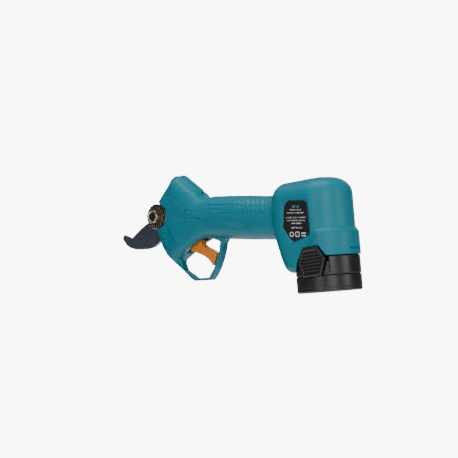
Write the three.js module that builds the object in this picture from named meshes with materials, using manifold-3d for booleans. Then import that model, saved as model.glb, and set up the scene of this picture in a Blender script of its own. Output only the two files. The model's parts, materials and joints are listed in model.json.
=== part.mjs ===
// Battery electric pruner: one-handed bypass pruner with a geared motor in the grip and a
// slide-on cylindrical battery pack. Millimetres, +Z up.
// Origin: centre of the battery pack's flat base. +Z runs up the pack's axis, -X points
// forward to the blades, -Y is the tool's left side (the side with the pivot nut).
import * as THREE from "three";
import { mergeVertices } from "three/addons/utils/BufferGeometryUtils.js";
import Module from "manifold-3d";

const wasm = await Module();
wasm.setup();

// ---------------------------------------------------------------- driving dimensions
const GAP = 0.3; // clearance between neighbouring pieces
const WALL = 2.5; // housing wall
const POD_R = 28.5; // battery pod, rear radius and half width
const POD_BULGE_R = 31.5; // lower rear skirt of the pod
const POD_TOP = 106.4;
const SEAM_Z = 33; // where the pack meets the pod
const PACK_R = 30.5; // battery pack body radius
const PACK_SPLIT_Z = 15.6; // line between the pack's cap and case
const STEM_R = 24.6; // pack stem that plugs into the pod
const STEM_TOP = 74.6;
const CELL_R = 9.15;
const CELL_L = 65;
const CELL_PITCH = 9.3; // cell centre offset from the pack axis, in X and Y
const GRIP_HALF_W = 18; // grip half width
const GRIP_HALF_H = 21.5; // grip half height
const HEAD_HALF_W = 17.5; // head half width at its rear
const HEAD_NOSE_HALF_W = 14.5; // head half width at its nose
const PIVOT = [-195.5, 91]; // blade pivot, X and Z
const AXIS_TILT = 0.1131; // slope of the drive axis, radians
const BLADE_T = 3.4; // blade thickness
const BLADE_GAP = 0.2; // half of the gap between the blades
const BEVEL_MODULE = 1.5;
const PINION_TEETH = 10;
const SECTOR_TEETH = 30;
const BEVEL_FACE = 7;
const PLANET_MODULE = 0.6;
const SUN_TEETH = 12;
const PLANET_TEETH = 15;
const RING_TEETH = 42;
const MOTOR_R = 14.5;
const PRESSURE_ANGLE = (25 * Math.PI) / 180;
const TRIGGER_PIN = [-158, 62]; // X and Z
const TRIGGER_HALF_W = 4.5;
const BUTTON_TRAVEL = 0.8;
const GUARD_HALF_W = 5.4;

// ---------------------------------------------------------------- solids
const V3 = (x, y, z) => new THREE.Vector3(x, y, z);

function toSolid(geometry, matrix) {
  let g = geometry.index ? geometry.toNonIndexed() : geometry.clone();
  g.deleteAttribute("normal");
  g.deleteAttribute("uv");
  if (matrix) g.applyMatrix4(matrix);
  g = mergeVertices(g, 1e-3);
  const index = g.index.array;
  const triVerts = [];
  for (let i = 0; i < index.length; i += 3)
    if (
      index[i] !== index[i + 1] &&
      index[i + 1] !== index[i + 2] &&
      index[i] !== index[i + 2]
    )
      triVerts.push(index[i], index[i + 1], index[i + 2]);
  return new wasm.Manifold(
    new wasm.Mesh({
      numProp: 3,
      vertProperties: new Float32Array(g.attributes.position.array),
      triVerts: new Uint32Array(triVerts),
    }),
  );
}

function toGeometry(solid) {
  const m = solid.getMesh();
  const v = new Float32Array(m.numVert * 3);
  for (let i = 0; i < m.numVert; i++)
    v.set(m.vertProperties.subarray(i * m.numProp, i * m.numProp + 3), i * 3);
  const g = new THREE.BufferGeometry();
  g.setAttribute("position", new THREE.BufferAttribute(v, 3));
  g.setIndex(new THREE.BufferAttribute(new Uint32Array(m.triVerts), 1));
  const flat = g.toNonIndexed();
  flat.computeVertexNormals();
  return flat;
}

const join = (first, ...rest) => rest.reduce((a, b) => a.add(b), first);
const cut = (first, ...rest) => rest.reduce((a, b) => a.subtract(b), first);

function shapeOf(points, holes = []) {
  const s = new THREE.Shape(points.map(([a, b]) => new THREE.Vector2(a, b)));
  for (const h of holes)
    s.holes.push(new THREE.Path(h.map(([a, b]) => new THREE.Vector2(a, b))));
  return s;
}

// A plate whose outline lies in the XZ plane and whose thickness runs from y0 to y1.
function plateXZ(points, y0, y1, { bevel = 0, segments = 1, holes = [] } = {}) {
  const g = new THREE.ExtrudeGeometry(shapeOf(points, holes), {
    depth: y1 - y0 - 2 * bevel,
    bevelEnabled: bevel > 0,
    bevelThickness: bevel,
    bevelSize: bevel,
    bevelOffset: -bevel,
    bevelSegments: segments,
    curveSegments: 8,
  });
  g.rotateX(Math.PI / 2);
  g.translate(0, y1 - bevel, 0);
  return toSolid(g);
}

// A prism whose outline lies in the XY plane, from z0 to z1.
function prismXY(points, z0, z1) {
  const g = new THREE.ExtrudeGeometry(shapeOf(points), {
    depth: z1 - z0,
    bevelEnabled: false,
  });
  g.translate(0, 0, z0);
  return toSolid(g);
}

function box(x0, x1, y0, y1, z0, z1) {
  const g = new THREE.BoxGeometry(x1 - x0, y1 - y0, z1 - z0);
  g.translate((x0 + x1) / 2, (y0 + y1) / 2, (z0 + z1) / 2);
  return toSolid(g);
}

// A turned solid: profile of [radius, height] pairs, closed on the axis, about +Z.
function turned(profile, segments = 24) {
  const p = profile.map(([r, h]) => new THREE.Vector2(r, h));
  const g = new THREE.LatheGeometry(p, segments);
  g.rotateX(Math.PI / 2);
  return toSolid(g);
}
const rod = (r, z0, z1, segments = 24) =>
  turned([[0, z0], [r, z0], [r, z1], [0, z1]], segments);
function tubeZ(r0, r1, z0, z1, segments = 24) {
  return rod(r1, z0, z1, segments).subtract(rod(r0, z0 - 1, z1 + 1, segments));
}
const place = (solid, matrix) => solid.transform(matrix.elements);
const alongY = (solid, x, z) =>
  place(
    solid,
    new THREE.Matrix4()
      .makeTranslation(x, 0, z)
      .multiply(new THREE.Matrix4().makeRotationX(-Math.PI / 2)),
  ); // +Z of the turned piece becomes +Y
const alongX = (solid) =>
  place(solid, new THREE.Matrix4().makeRotationY(Math.PI / 2)); // +Z becomes +X

// A solid through rings of points; every ring has the same count and turns the same way.
function loft(rings) {
  const n = rings[0].length;
  const pos = [];
  const push = (a, b, c) => pos.push(...a, ...b, ...c);
  for (let k = 0; k + 1 < rings.length; k++)
    for (let i = 0; i < n; i++) {
      const j = (i + 1) % n;
      const [a, b, c, d] = [
        rings[k][i],
        rings[k][j],
        rings[k + 1][j],
        rings[k + 1][i],
      ];
      push(a, b, c);
      push(a, c, d);
    }
  const centre = (r) =>
    r.reduce((s, p) => s.map((v, i) => v + p[i] / r.length), [0, 0, 0]);
  const c0 = centre(rings[0]),
    c1 = centre(rings[rings.length - 1]);
  for (let i = 0; i < n; i++) {
    const j = (i + 1) % n;
    push(c0, rings[0][j], rings[0][i]);
    push(c1, rings[rings.length - 1][i], rings[rings.length - 1][j]);
  }
  const g = new THREE.BufferGeometry();
  g.setAttribute("position", new THREE.Float32BufferAttribute(pos, 3));
  let s = toSolid(g);
  if (s.volume() < 0) {
    for (let i = 0; i < pos.length; i += 9)
      for (let k = 0; k < 3; k++)
        [pos[i + 3 + k], pos[i + 6 + k]] = [pos[i + 6 + k], pos[i + 3 + k]];
    g.setAttribute("position", new THREE.Float32BufferAttribute(pos, 3));
    s = toSolid(g);
  }
  return s;
}

// A round tube along a path of points.
function cable(points, radius, sides, steps) {
  const curve = new THREE.CatmullRomCurve3(points.map((p) => V3(...p)));
  const ring = [];
  for (let i = 0; i < sides; i++) {
    const a = (2 * Math.PI * i) / sides;
    ring.push([radius * Math.cos(a), radius * Math.sin(a)]);
  }
  const g = new THREE.ExtrudeGeometry(shapeOf(ring), {
    steps,
    bevelEnabled: false,
    extrudePath: curve,
  });
  const s = toSolid(g);
  return s;
}

// Moves every side of an outline inwards by d.
function inset(points, d) {
  const area = points.reduce((s, [x, z], i) => {
    const [u, v] = points[(i + 1) % points.length];
    return s + (x * v - u * z) / 2;
  }, 0);
  const sign = area > 0 ? 1 : -1;
  const n = points.length;
  return points.map((p, i) => {
    const a = points[(i + n - 1) % n],
      b = points[(i + 1) % n];
    const side = (q, r) => {
      const l = Math.hypot(r[0] - q[0], r[1] - q[1]);
      return [(-(r[1] - q[1]) / l) * sign, ((r[0] - q[0]) / l) * sign];
    };
    const n1 = side(a, p),
      n2 = side(p, b);
    const k = d / (1 + n1[0] * n2[0] + n1[1] * n2[1]);
    return [p[0] + (n1[0] + n2[0]) * k, p[1] + (n1[1] + n2[1]) * k];
  });
}

// ---------------------------------------------------------------- gears
const inv = (a) => Math.tan(a) - a;

// Half of the angle that a tooth spans at radius rho, for an involute tooth.
function halfTooth(rho, pitchR, teeth, backlash, inside = false) {
  const rb = pitchR * Math.cos(PRESSURE_ANGLE);
  const a = Math.acos(Math.min(1, rb / Math.max(rho, rb)));
  const base = Math.PI / (2 * teeth);
  return inside
    ? base - (inv(PRESSURE_ANGLE) - inv(a)) - backlash / (2 * pitchR)
    : base + inv(PRESSURE_ANGLE) - inv(a) - backlash / (2 * pitchR);
}

// Outline of an external spur gear with a tooth centred on the angle 0.
function spurOutline(m, teeth, backlash, flank = 1) {
  const r = (m * teeth) / 2;
  const ra = r + 0.8 * m,
    rf = r - 1.05 * m;
  const pts = [];
  for (let t = 0; t < teeth; t++) {
    const c = (2 * Math.PI * t) / teeth;
    const radii = [rf];
    for (let k = 0; k <= flank; k++)
      radii.push(r - 0.8 * m + (1.6 * m * k) / flank);
    const left = radii.map((q) => [
      q,
      c - halfTooth(q, r, teeth, backlash),
    ]);
    const right = radii
      .map((q) => [q, c + halfTooth(q, r, teeth, backlash)])
      .reverse();
    for (const [q, a] of [...left, ...right])
      pts.push([Math.min(q, ra) * Math.cos(a), Math.min(q, ra) * Math.sin(a)]);
  }
  return pts;
}

// Outline of an internal gear's bore with a gap centred on the angle 0.
function ringOutline(m, teeth, backlash) {
  const r = (m * teeth) / 2;
  const tip = r - 0.75 * m,
    root = r + 1.05 * m;
  const pts = [];
  for (let t = 0; t < teeth; t++) {
    const c = (2 * Math.PI * t) / teeth;
    // the gap of the ring has the shape of an external tooth, made wider by the backlash
    const radii = [tip, root];
    const half = (q) => halfTooth(q, r, teeth, -backlash);
    for (const q of radii) pts.push([q, c - half(q)]);
    for (const q of radii.slice().reverse()) pts.push([q, c + half(q)]);
  }
  return pts.map(([q, a]) => [q * Math.cos(a), q * Math.sin(a)]);
}

// One straight bevel tooth about +Z with its apex at the origin, centred on the angle `at`.
function bevelTooth(teeth, cone, at, backlash, { ahead = 0.8 } = {}) {
  const m = BEVEL_MODULE;
  const r = (m * teeth) / 2; // pitch radius at the large end
  const re = r / Math.sin(cone); // cone distance
  const k = (re - BEVEL_FACE) / re;
  const rv = r / Math.cos(cone),
    zv = teeth / Math.cos(cone);
  const radii = [-1.45, -0.75, 0.05, ahead].map((q) => rv + q * m);
  const at3 = (rho, side, scale) => {
    const psi = Math.max(0.002, halfTooth(rho, rv, zv, backlash));
    const radial = (r + (rho - rv) * Math.cos(cone)) * scale;
    const axial = (r / Math.tan(cone) - (rho - rv) * Math.sin(cone)) * scale;
    const theta = at + (side * psi * rho) / (r + (rho - rv) * Math.cos(cone));
    return [radial * Math.cos(theta), radial * Math.sin(theta), axial];
  };
  const ring = (scale) => [
    ...radii.map((q) => at3(q, -1, scale)),
    ...radii.slice().reverse().map((q) => at3(q, 1, scale)),
  ];
  return loft([ring(k), ring(1)]);
}

// ---------------------------------------------------------------- housing outlines (X, Z)
// The head at its centre plane and, point for point, at its widest.
const HEAD_CENTRE = [
  [-136.5, 104.6], [-142.5, 112], [-163.3, 129.1], [-166, 130.6],
  [-172.5, 131.2], [-176, 128.6], [-179.2, 124.5], [-188.7, 115.6],
  [-201.7, 102.4], [-201.8, 90], [-200.7, 76.2], [-193.9, 56.3],
  [-187.9, 47.1], [-179.5, 39.6], [-171, 43.8], [-160.3, 49.7],
  [-149.5, 56.6], [-142.6, 60.3], [-132.3, 62.9],
];
const HEAD_SIDE = [
  [-138, 96], [-147, 103], [-164, 117], [-167, 118.5], [-170, 119],
  [-172, 117.5], [-174, 114.5], [-181, 106.5], [-194, 93.5], [-195, 88],
  [-194, 80], [-187, 64], [-182, 58], [-176, 56], [-169, 58], [-158, 62],
  [-149, 66], [-141, 69], [-132, 70],
];
const GUARD = [
  [-196, 62], [-193.9, 56.3], [-187.9, 47.1], [-179.5, 39.6], [-161.1, 22.9],
  [-157, 20.8], [-137, 20.3], [-132.5, 24.5], [-127.1, 31.9], [-122.9, 39.5],
  [-119.2, 48], [-116.8, 56.1], [-112.5, 61.8], [-112, 68], [-150, 72],
  [-185, 72],
];
const FINGER_GAP = [
  [-156.7, 23.7], [-170.1, 33], [-172.6, 39.5], [-172, 43.5], [-169.4, 45.3],
  [-160.3, 49.7], [-149.5, 56.6], [-142.6, 60.3], [-137.4, 62.2],
  [-132.3, 62.9], [-121.2, 58], [-122.3, 52.7], [-123.6, 47.1], [-127.3, 40],
  [-130.9, 33.1], [-138.8, 23.3], [-148.7, 23.5],
];
const NOSE_NOTCH = [
  [-215, 107.5], [-193.1, 105.7], [-186.8, 102], [-179.9, 97], [-180.1, 88],
  [-182.1, 81.8], [-186.8, 79.8], [-198.4, 76.9], [-199.2, 75.4], [-215, 75.4],
];
const LATCH_HEX = [
  [-7.4, 41.2], [8.8, 42.1], [15.6, 31], [10.6, 15.7], [-8.6, 14.7], [-13, 28],
];

const gripZ = (x) => PIVOT[1] - Math.tan(AXIS_TILT) * (x - PIVOT[0]);

// Plan outline of the pod at height z, moved inwards by d.
function podRing(z, d, rear = POD_R) {
  const pts = [];
  const R = POD_R - d;
  const zs = [18, 23.3, 35.4, 53.5, 60, 110],
    xs = [-33.4, -34.6, -38.9, -43.6, -44.2, -44.2];
  let xf = xs[0];
  for (let i = 0; i + 1 < zs.length; i++)
    if (z >= zs[i])
      xf = xs[i] + ((xs[i + 1] - xs[i]) * (z - zs[i])) / (zs[i + 1] - zs[i]);
  xf += d;
  const rc = Math.max(4, Math.min(14 - d * 0.5, R - 1));
  for (let i = 0; i <= 12; i++) {
    const a = -Math.PI / 2 + (Math.PI * i) / 12;
    const rr = R + (rear - POD_R) * Math.max(0, Math.cos(a)) ** 0.35;
    pts.push([rr * Math.cos(a), rr * Math.sin(a), z]);
  }
  for (let i = 0; i <= 4; i++) {
    const a = Math.PI / 2 + (Math.PI * i) / 8;
    pts.push([xf + rc + rc * Math.cos(a), R - rc + rc * Math.sin(a), z]);
  }
  for (let i = 0; i <= 4; i++) {
    const a = Math.PI + (Math.PI * i) / 8;
    pts.push([xf + rc + rc * Math.cos(a), -(R - rc) + rc * Math.sin(a), z]);
  }
  return pts;
}
const POD_TOP_ROUNDING = [
  [90, 0], [94.6, 1.1], [99, 3.4], [102.8, 7], [105.2, 12], [POD_TOP, 20],
];
const podOuter = loft([
  podRing(19.6, 0),
  podRing(23.3, 0),
  podRing(35.4, 0),
  podRing(53.5, 0),
  podRing(60, 0),
  ...POD_TOP_ROUNDING.map(([z, d]) => podRing(z, d)),
]);
const podSkirt = loft([
  podRing(19.6, 0, POD_BULGE_R),
  podRing(54, 0, POD_BULGE_R),
  podRing(59.5, 0, POD_R),
]).intersect(box(2, 40, -40, 40, 19, 60));
const podInner = loft([
  podRing(SEAM_Z - 2, WALL),
  podRing(35.4, WALL),
  podRing(53.5, WALL),
  podRing(60, WALL),
  podRing(90, WALL),
  podRing(98, WALL + 4.6),
  podRing(103.4, WALL + 13.5),
]);

function gripRing(x, hw, hh) {
  const pts = [];
  const e = 2 / 2.35;
  for (let i = 0; i < 24; i++) {
    const a = (2 * Math.PI * i) / 24;
    const c = Math.cos(a),
      s = Math.sin(a);
    pts.push([
      x,
      hw * Math.sign(c) * Math.abs(c) ** e,
      gripZ(x) + hh * Math.sign(s) * Math.abs(s) ** e,
    ]);
  }
  return pts;
}
const gripOuter = loft(
  [-40, -57, -80, -105, -125, -150].map((x) =>
    gripRing(x, GRIP_HALF_W, GRIP_HALF_H + (x < -70 && x > -110 ? 0.4 : 0)),
  ),
);
const gripInner = loft(
  [-38, -57, -80, -105, -125, -168].map((x) =>
    gripRing(x, GRIP_HALF_W - WALL, GRIP_HALF_H - WALL),
  ),
);

// The head narrows towards its nose.
const slope = (HEAD_HALF_W - HEAD_NOSE_HALF_W) / 35;
const headPlan = (d) => {
  const nose = HEAD_NOSE_HALF_W - d - slope * 5,
    rear = HEAD_HALF_W - d;
  return [
    [-205, -nose], [-165, -rear], [-100, -rear], [-100, rear], [-165, rear],
    [-205, nose],
  ];
};
// The head is domed: its outline shrinks towards the sides.
function headLoft(halfW, shrink) {
  const rings = [-1, -0.93, -0.8, -0.55, -0.25, 0.25, 0.55, 0.8, 0.93, 1].map((k) => {
    const a = Math.min(1, Math.abs(k));
    const dome = 1 - Math.sqrt(1 - Math.min(0.98, a) ** 2);
    const f = Math.max(0.2, (1 - a ** 2.35) ** (1 / 2.35));
    const x = -122;
    const pts = HEAD_CENTRE.map(([u, v], i) => [
      u + (HEAD_SIDE[i][0] - u) * dome,
      v + (HEAD_SIDE[i][1] - v) * dome,
    ]);
    const ring = [
      [x, gripZ(x) - (GRIP_HALF_H + 0.2) * f],
      [x, gripZ(x) + (GRIP_HALF_H + 0.2) * f],
      ...pts,
    ];
    return inset(ring, shrink).map(([u, v]) => [u, k * halfW, v]);
  });
  return loft(rings);
}
const headOuter = headLoft(HEAD_HALF_W, 0).intersect(prismXY(headPlan(0), 10, 140));
const headInner = headLoft(HEAD_HALF_W - WALL, WALL).intersect(
  prismXY(headPlan(WALL), 10, 140),
);
// narrow raised strip along the back slope of the head
const STRIP = [
  [-166.2, 128.2], [-165.4, 131.4], [-162.6, 130.2], [-142.4, 113.6],
  [-140.6, 110.6], [-142.6, 108.6], [-146, 109.6],
];
const strip = plateXZ(STRIP, -2.8, 2.8, { bevel: 0.6, segments: 1 });
const guardOuter = plateXZ(GUARD, -GUARD_HALF_W, GUARD_HALF_W, {
  bevel: 1,
  segments: 1,
});

// The display sits flush in the top of the pod. A frame on it: along, out.
const FACE_MID = [-8, POD_TOP + 0.4];
const FACE_DIR = [1, 0];
const FACE_N = [0, 1];
const onFace = (u, n) => [
  FACE_MID[0] + u * FACE_DIR[0] + n * FACE_N[0],
  FACE_MID[1] + u * FACE_DIR[1] + n * FACE_N[1],
];
const faceBox = (u0, u1, n0, n1, y0, y1, bevel = 0) =>
  plateXZ(
    [onFace(u0, n0), onFace(u1, n0), onFace(u1, n1), onFace(u0, n1)],
    y0,
    y1,
    { bevel, segments: 1 },
  );
const faceMatrix = new THREE.Matrix4().makeBasis(
  V3(FACE_DIR[0], 0, FACE_DIR[1]),
  V3(0, 1, 0).cross(V3(0, 0, 0)).add(V3(0, 1, 0)),
  V3(FACE_N[0], 0, FACE_N[1]),
);
const onFaceRod = (solid, u) => {
  const [x, z] = onFace(u, 0);
  return place(
    solid,
    new THREE.Matrix4().makeTranslation(x, 0, z).multiply(faceMatrix),
  );
};

// ---------------------------------------------------------------- housing screws (X, Z, y of the head)
const HOUSING_SCREWS = [
  [-172.5, 116, 13.6],
  [-186.5, 62.5, 12.2],
  [-83, 78.2, 16.4],
  [-35.6, 93, 24],
  [-32.4, 43, 23.4],
];

function buildHousing() {
  let shell = join(podOuter, podSkirt, gripOuter, headOuter, strip, guardOuter);
  shell = cut(
    shell,
    podInner,
    gripInner,
    headInner,
    plateXZ(FINGER_GAP, -30, 30),
    rod(PACK_R + 0.4, 0, SEAM_Z + 0.2, 56), // the pack's body below the seam
    rod(STEM_R + 1.4, SEAM_Z - 1, 60, 48),
    // behind the chin the pod ends at the seam
    plateXZ([[-23.5, 10], [-14.2, SEAM_Z - 1], [-13.6, SEAM_Z], [60, SEAM_Z], [60, 10]], -40, 40),
  );
  // the jaw opening and the notch around the pivot on both sides
  shell = cut(
    shell,
    plateXZ(NOSE_NOTCH, -40, -4),
    plateXZ(NOSE_NOTCH, 4, 40),
    box(-215, -184, -8.6, 8.6, 59.5, 106.6),
    box(-215, -176, -9.6, 12.2, 70, 104.5),
  );
  // trigger slot in the underside
  shell = shell.subtract(
    plateXZ(
      [[-168.5, 40], [-168.5, 71], [-150, 73], [-137, 68], [-135.5, 40]],
      -TRIGGER_HALF_W - 0.7,
      TRIGGER_HALF_W + 0.7,
    ),
  );
  // pocket and opening for the display
  shell = cut(
    shell,
    faceBox(-13.9, 13.9, -2.4, 3, -11.3, 11.3),
    faceBox(-10.6, 11.6, -12, 3, -8.6, 8.6),
  );
  // bosses for the screws and for the trigger pin
  const bosses = [];
  const holes = [];
  for (const [x, z, y] of HOUSING_SCREWS) {
    const wall = y + 1.4;
    bosses.push(
      alongY(rod(3.5, -wall, wall, 18), x, z).intersect(
        join(podOuter, gripOuter, headOuter),
      ),
    );
    holes.push(
      alongY(rod(1.75, -9, y + 6, 16), x, z),
      alongY(rod(3.3, y - 2.3, y + 8, 18), x, z),
    );
  }
  const [tx, tz] = TRIGGER_PIN;
  bosses.push(
    alongY(rod(3.4, 5.6, 15, 18), tx, tz),
    alongY(rod(3.4, -15, -8.5, 18), tx, tz),
  );
  shell = join(shell, ...bosses);
  holes.push(alongY(rod(1.85, -10.6, 10.6, 16), tx, tz));
  shell = cut(shell, ...holes);
  // windows for the two latches, and the shallow pocket of the label
  const window_ = inset(LATCH_HEX, -0.6);
  shell = cut(
    shell,
    plateXZ(window_, -40, -STEM_R + 1.2),
    plateXZ(window_, STEM_R - 1.2, 40),
    plateXZ(inset(LABEL, -0.4), -40, -27.85),
  );
  const left = shell.intersect(box(-260, 60, -60, -0.15, -10, 150));
  const right = shell.intersect(box(-260, 60, 0.15, 60, -10, 150));
  const biggest = (s) =>
    s.decompose().sort((a, b) => b.volume() - a.volume())[0];
  return [biggest(left), biggest(right)];
}
const LABEL = [
  [-24.6, 82], [-20.4, 86.9], [0.4, 85], [0.9, 53.3], [-17.8, 47.8],
  [-27.4, 62.2],
];
const [housingLeft, housingRight] = buildHousing();

// ---------------------------------------------------------------- the assembly
const root = new THREE.Group();
const drive = new THREE.Group(); // local +X runs back along the motor's axis
drive.position.set(PIVOT[0], 0, PIVOT[1]);
drive.rotation.y = AXIS_TILT;
root.add(drive);

const TEAL = 0x1a8094,
  BLACK = 0x26241f,
  STEEL = 0x9a9ca0,
  DARK = 0x3e4048;
function add(name, solid, color, roughness, metalness, group = root) {
  const mesh = new THREE.Mesh(
    toGeometry(solid),
    new THREE.MeshStandardMaterial({ color, roughness, metalness }),
  );
  mesh.name = name;
  group.add(mesh);
  return mesh;
}
const S = (solid) => alongX(solid); // turned about the drive axis, in the drive frame

add("housing_left", housingLeft, TEAL, 0.5, 0);
add("housing_right", housingRight, TEAL, 0.5, 0);

// display, flush in the pod's top
let bezel = faceBox(-13.6, 13.6, -2.1, 0, -11, 11);
bezel = cut(
  bezel,
  faceBox(-10.2, 2.6, -6, 3, -7.6, 7.6),
  onFaceRod(rod(3.9, -6, 3, 24), 7.4),
);
add("display_bezel", bezel, TEAL, 0.5, 0);
add("display_lens", faceBox(-9.9, 2.3, -2, -0.3, -7.3, 7.3), 0x0c0e10, 0.12, 0);
add(
  "power_button",
  onFaceRod(
    turned([[0, -2.6], [3.5, -2.6], [3.5, 0.2], [2.9, 0.7], [0, 0.9]], 24),
    7.4,
  ),
  BLACK, 0.5, 0,
);
add(
  "display_board",
  join(
    faceBox(-9.8, 10, -7.4, -5.9, -7.6, 7.6),
    faceBox(-8.8, 1.4, -5.95, -3.2, -6, 6),
    faceBox(5.4, 9.4, -5.95, -3.7, -2, 2),
  ),
  0x1d5a34, 0.6, 0,
);

// gear case: left cheek with the round pivot boss, and the barrel that holds the bearing
const FB = { y0: -BLADE_GAP - BLADE_T, y1: -BLADE_GAP };
const MB = { y0: BLADE_GAP, y1: BLADE_GAP + BLADE_T };
const SCREW_SPOTS = [
  [16.6, -13.6],
  [9, -17.4],
]; // in the drive frame: along the axis, up
let caseSolid = join(
  plateXZ(
    [[6.2, -21.2], [14, -19.6], [20.5, -17], [25, -13.4], [34, -13.4], [34, 13.4], [10, 13.4], [-6, 12], [-12.6, 4], [-12.2, -5], [-6, -12.2], [0.5, -12.6], [4.6, -13.4]],
    -11.2, -8.8,
  ),
  alongY(turned([[0, -12.6], [12.6, -12.6], [13.2, -12.1], [13.2, -8], [11, -3.9], [0, -3.9]], 28), 0, 0),
  S(rod(MOTOR_R - 0.1, 24.6, 34, 28)),
  ...SCREW_SPOTS.map(([s, t]) => alongY(rod(3.4, -9, -3.9, 14), s, t)),
);
caseSolid = cut(
  caseSolid,
  S(rod(8.4, 24, 30.3, 24)),
  S(rod(5.2, 23, 40, 20)),
  S(rod(8.8, 12, 24.6, 24)),
  alongY(rod(4.45, -20, 5, 20), 0, 0),
  ...SCREW_SPOTS.map(([s, t]) => alongY(rod(2.0, -20, 0, 12), s, t)),
);
add("gear_case", caseSolid, 0xa8abb0, 0.45, 0.9, drive);

// blades: outlines in world X and Z, the fixed hook on the left and the cutter on the right
const toDrive = new THREE.Matrix4()
  .makeRotationY(-AXIS_TILT)
  .multiply(new THREE.Matrix4().makeTranslation(-PIVOT[0], 0, -PIVOT[1]));
const FIXED = [
  [-253.4, 76.8], [-254.1, 73.8], [-252.8, 70.4], [-249.5, 66], [-245, 62.6],
  [-237, 60], [-228.5, 58.9], [-219, 58.8], [-211.8, 59.6], [-206, 61.6],
  [-201.5, 64.5], [-198.4, 67], [-190.5, 67], [-182, 69.6], [-177, 71.4],
  [-175.4, 75.4], [-177, 79], [-184.6, 82.6], [-183.9, 91], [-186.5, 98.5], [-192, 101.8],
  [-199, 102], [-205, 97.5], [-207.5, 91], [-208.5, 84.5], [-212.5, 76.5],
  [-217.5, 71.2], [-222.7, 68.6], [-231, 67.4], [-238.5, 68], [-244.5, 70.2],
  [-249, 73.6],
];
const MOVING = [
  [-247.6, 69.9], [-241.9, 74.5], [-230.8, 81.7], [-218.5, 87.7],
  [-209, 91.5], [-207.2, 96], [-202, 102.2], [-195, 104], [-187, 100.8],
  [-183, 94], [-183.2, 87], [-187, 80.8], [-193, 78.2], [-200, 78],
  [-206, 74], [-213, 66.8], [-221, 62.9], [-230, 61.6], [-239, 63.4], [-245, 66.6],
];
const hole = (r, n = 24) => {
  const p = [];
  for (let i = 0; i < n; i++) {
    const a = (2 * Math.PI * i) / n;
    p.push([PIVOT[0] + r * Math.cos(a), PIVOT[1] + r * Math.sin(a)]);
  }
  return p;
};
let fixedBlade = plateXZ(FIXED, FB.y0, FB.y1, { holes: [hole(4.35)] });
// ground bevel along the hook's inner edge
fixedBlade = cut(
  fixedBlade,
  plateXZ(
    [[-254, 77.5], [-250.6, 72.6], [-246, 68.8], [-239, 65.8], [-231, 65], [-222, 66.3], [-216, 69], [-211, 74.5], [-222.7, 75], [-236, 74], [-247, 79]],
    FB.y0 - 1, FB.y0 + 1.3,
  ),
);
const spots = SCREW_SPOTS.map(([s, t]) =>
  V3(s, 0, t).applyMatrix4(toDrive.clone().invert()),
);
for (const p of spots)
  fixedBlade = cut(
    fixedBlade,
    alongY(
      turned([[0, FB.y0 - 1], [2.2, FB.y0 - 1], [2.2, FB.y1 - 2], [4.2, FB.y1 + 0.05], [0, FB.y1 + 0.05]], 20),
      p.x, p.z,
    ),
  );
add("fixed_blade", fixedBlade, DARK, 0.35, 0.9);
spots.forEach((p, i) =>
  add(
    "fixed_blade_screw_" + (i + 1),
    alongY(
      turned([[0, -11], [1.7, -11], [1.7, FB.y1 - 2.2], [3.7, FB.y1 - 0.25], [1.3, FB.y1 - 0.25], [1.1, FB.y1 - 1.4], [0, FB.y1 - 1.4]], 18),
      p.x, p.z,
    ),
    STEEL, 0.35, 0.9,
  ),
);
let movingBlade = plateXZ(MOVING, MB.y0, MB.y1, { holes: [hole(6.1)] });
movingBlade = cut(
  movingBlade,
  plateXZ(
    [[-249, 68], [-245, 69.6], [-238, 66.6], [-230, 65], [-221, 66.2], [-213.5, 69.8], [-207, 76], [-205, 72], [-214, 60], [-250, 60]],
    MB.y1 - 1.6, MB.y1 + 1,
  ),
  alongY(rod(1.8, MB.y1 - 2, MB.y1 + 1, 16), PIVOT[0] + 8.6, PIVOT[1] + 4.6),
  alongY(rod(1.8, MB.y1 - 2, MB.y1 + 1, 16), PIVOT[0] - 8.2, PIVOT[1] + 5.2),
);
add("moving_blade", movingBlade, DARK, 0.35, 0.9);

// bevel sector on the cutter's right side; its teeth face the pinion
const CONE_P = Math.atan(PINION_TEETH / SECTOR_TEETH);
const CONE_S = Math.PI / 2 - CONE_P;
const RS = (BEVEL_MODULE * SECTOR_TEETH) / 2,
  RP = (BEVEL_MODULE * PINION_TEETH) / 2;
const rootS = (q) => 1.25 * BEVEL_MODULE * q;
const scaleIn = 1 - BEVEL_FACE / (RP / Math.sin(CONE_P));
// root cone of the sector about +Z, the blade's pivot axis, rising with the radius
const bodyS = turned(
  [
    [0, 4.2], [12.6, 4.2], [12.9, 4.5], [12.9, RP * scaleIn + rootS(scaleIn) - 1.2],
    [RS * scaleIn - 0.4, RP * scaleIn + rootS(scaleIn) * 0.95],
    [RS + 0.35, RP + rootS(1) * 0.95],
    [RS + 0.35, 11.6], [0, 11.6],
  ],
  40,
);
const FAN = (a0, a1, r) => {
  const pts = [[0, 0]];
  for (let i = 0; i <= 8; i++) {
    const a = a0 + ((a1 - a0) * i) / 8;
    pts.push([r * Math.cos(a), r * Math.sin(a)]);
  }
  return prismXY(pts, 0, 20);
};
const deg = Math.PI / 180;
let sector = join(
  bodyS.intersect(join(rod(12.9, 0, 20, 32), FAN(-18 * deg, 66 * deg, 40))),
);
for (let i = -1; i <= 5; i++)
  sector = sector.add(
    bevelTooth(SECTOR_TEETH, CONE_S, i * 12 * deg, 0.16),
  );
sector = sector.subtract(rod(6.1, 0, 20, 28));
const pinAngles = [Math.atan2(4.6, 8.6), Math.atan2(5.2, -8.2)];
for (const [dx, dz] of [[8.6, 4.6], [-8.2, 5.2]]) {
  const p = V3(PIVOT[0] + dx, 0, PIVOT[1] + dz).applyMatrix4(toDrive);
  // in the sector's own plane the drive's +Z is +Y
  sector = sector.subtract(
    place(rod(1.8, 3, 9, 16), new THREE.Matrix4().makeTranslation(p.x, p.z, 0)),
  );
}
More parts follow.
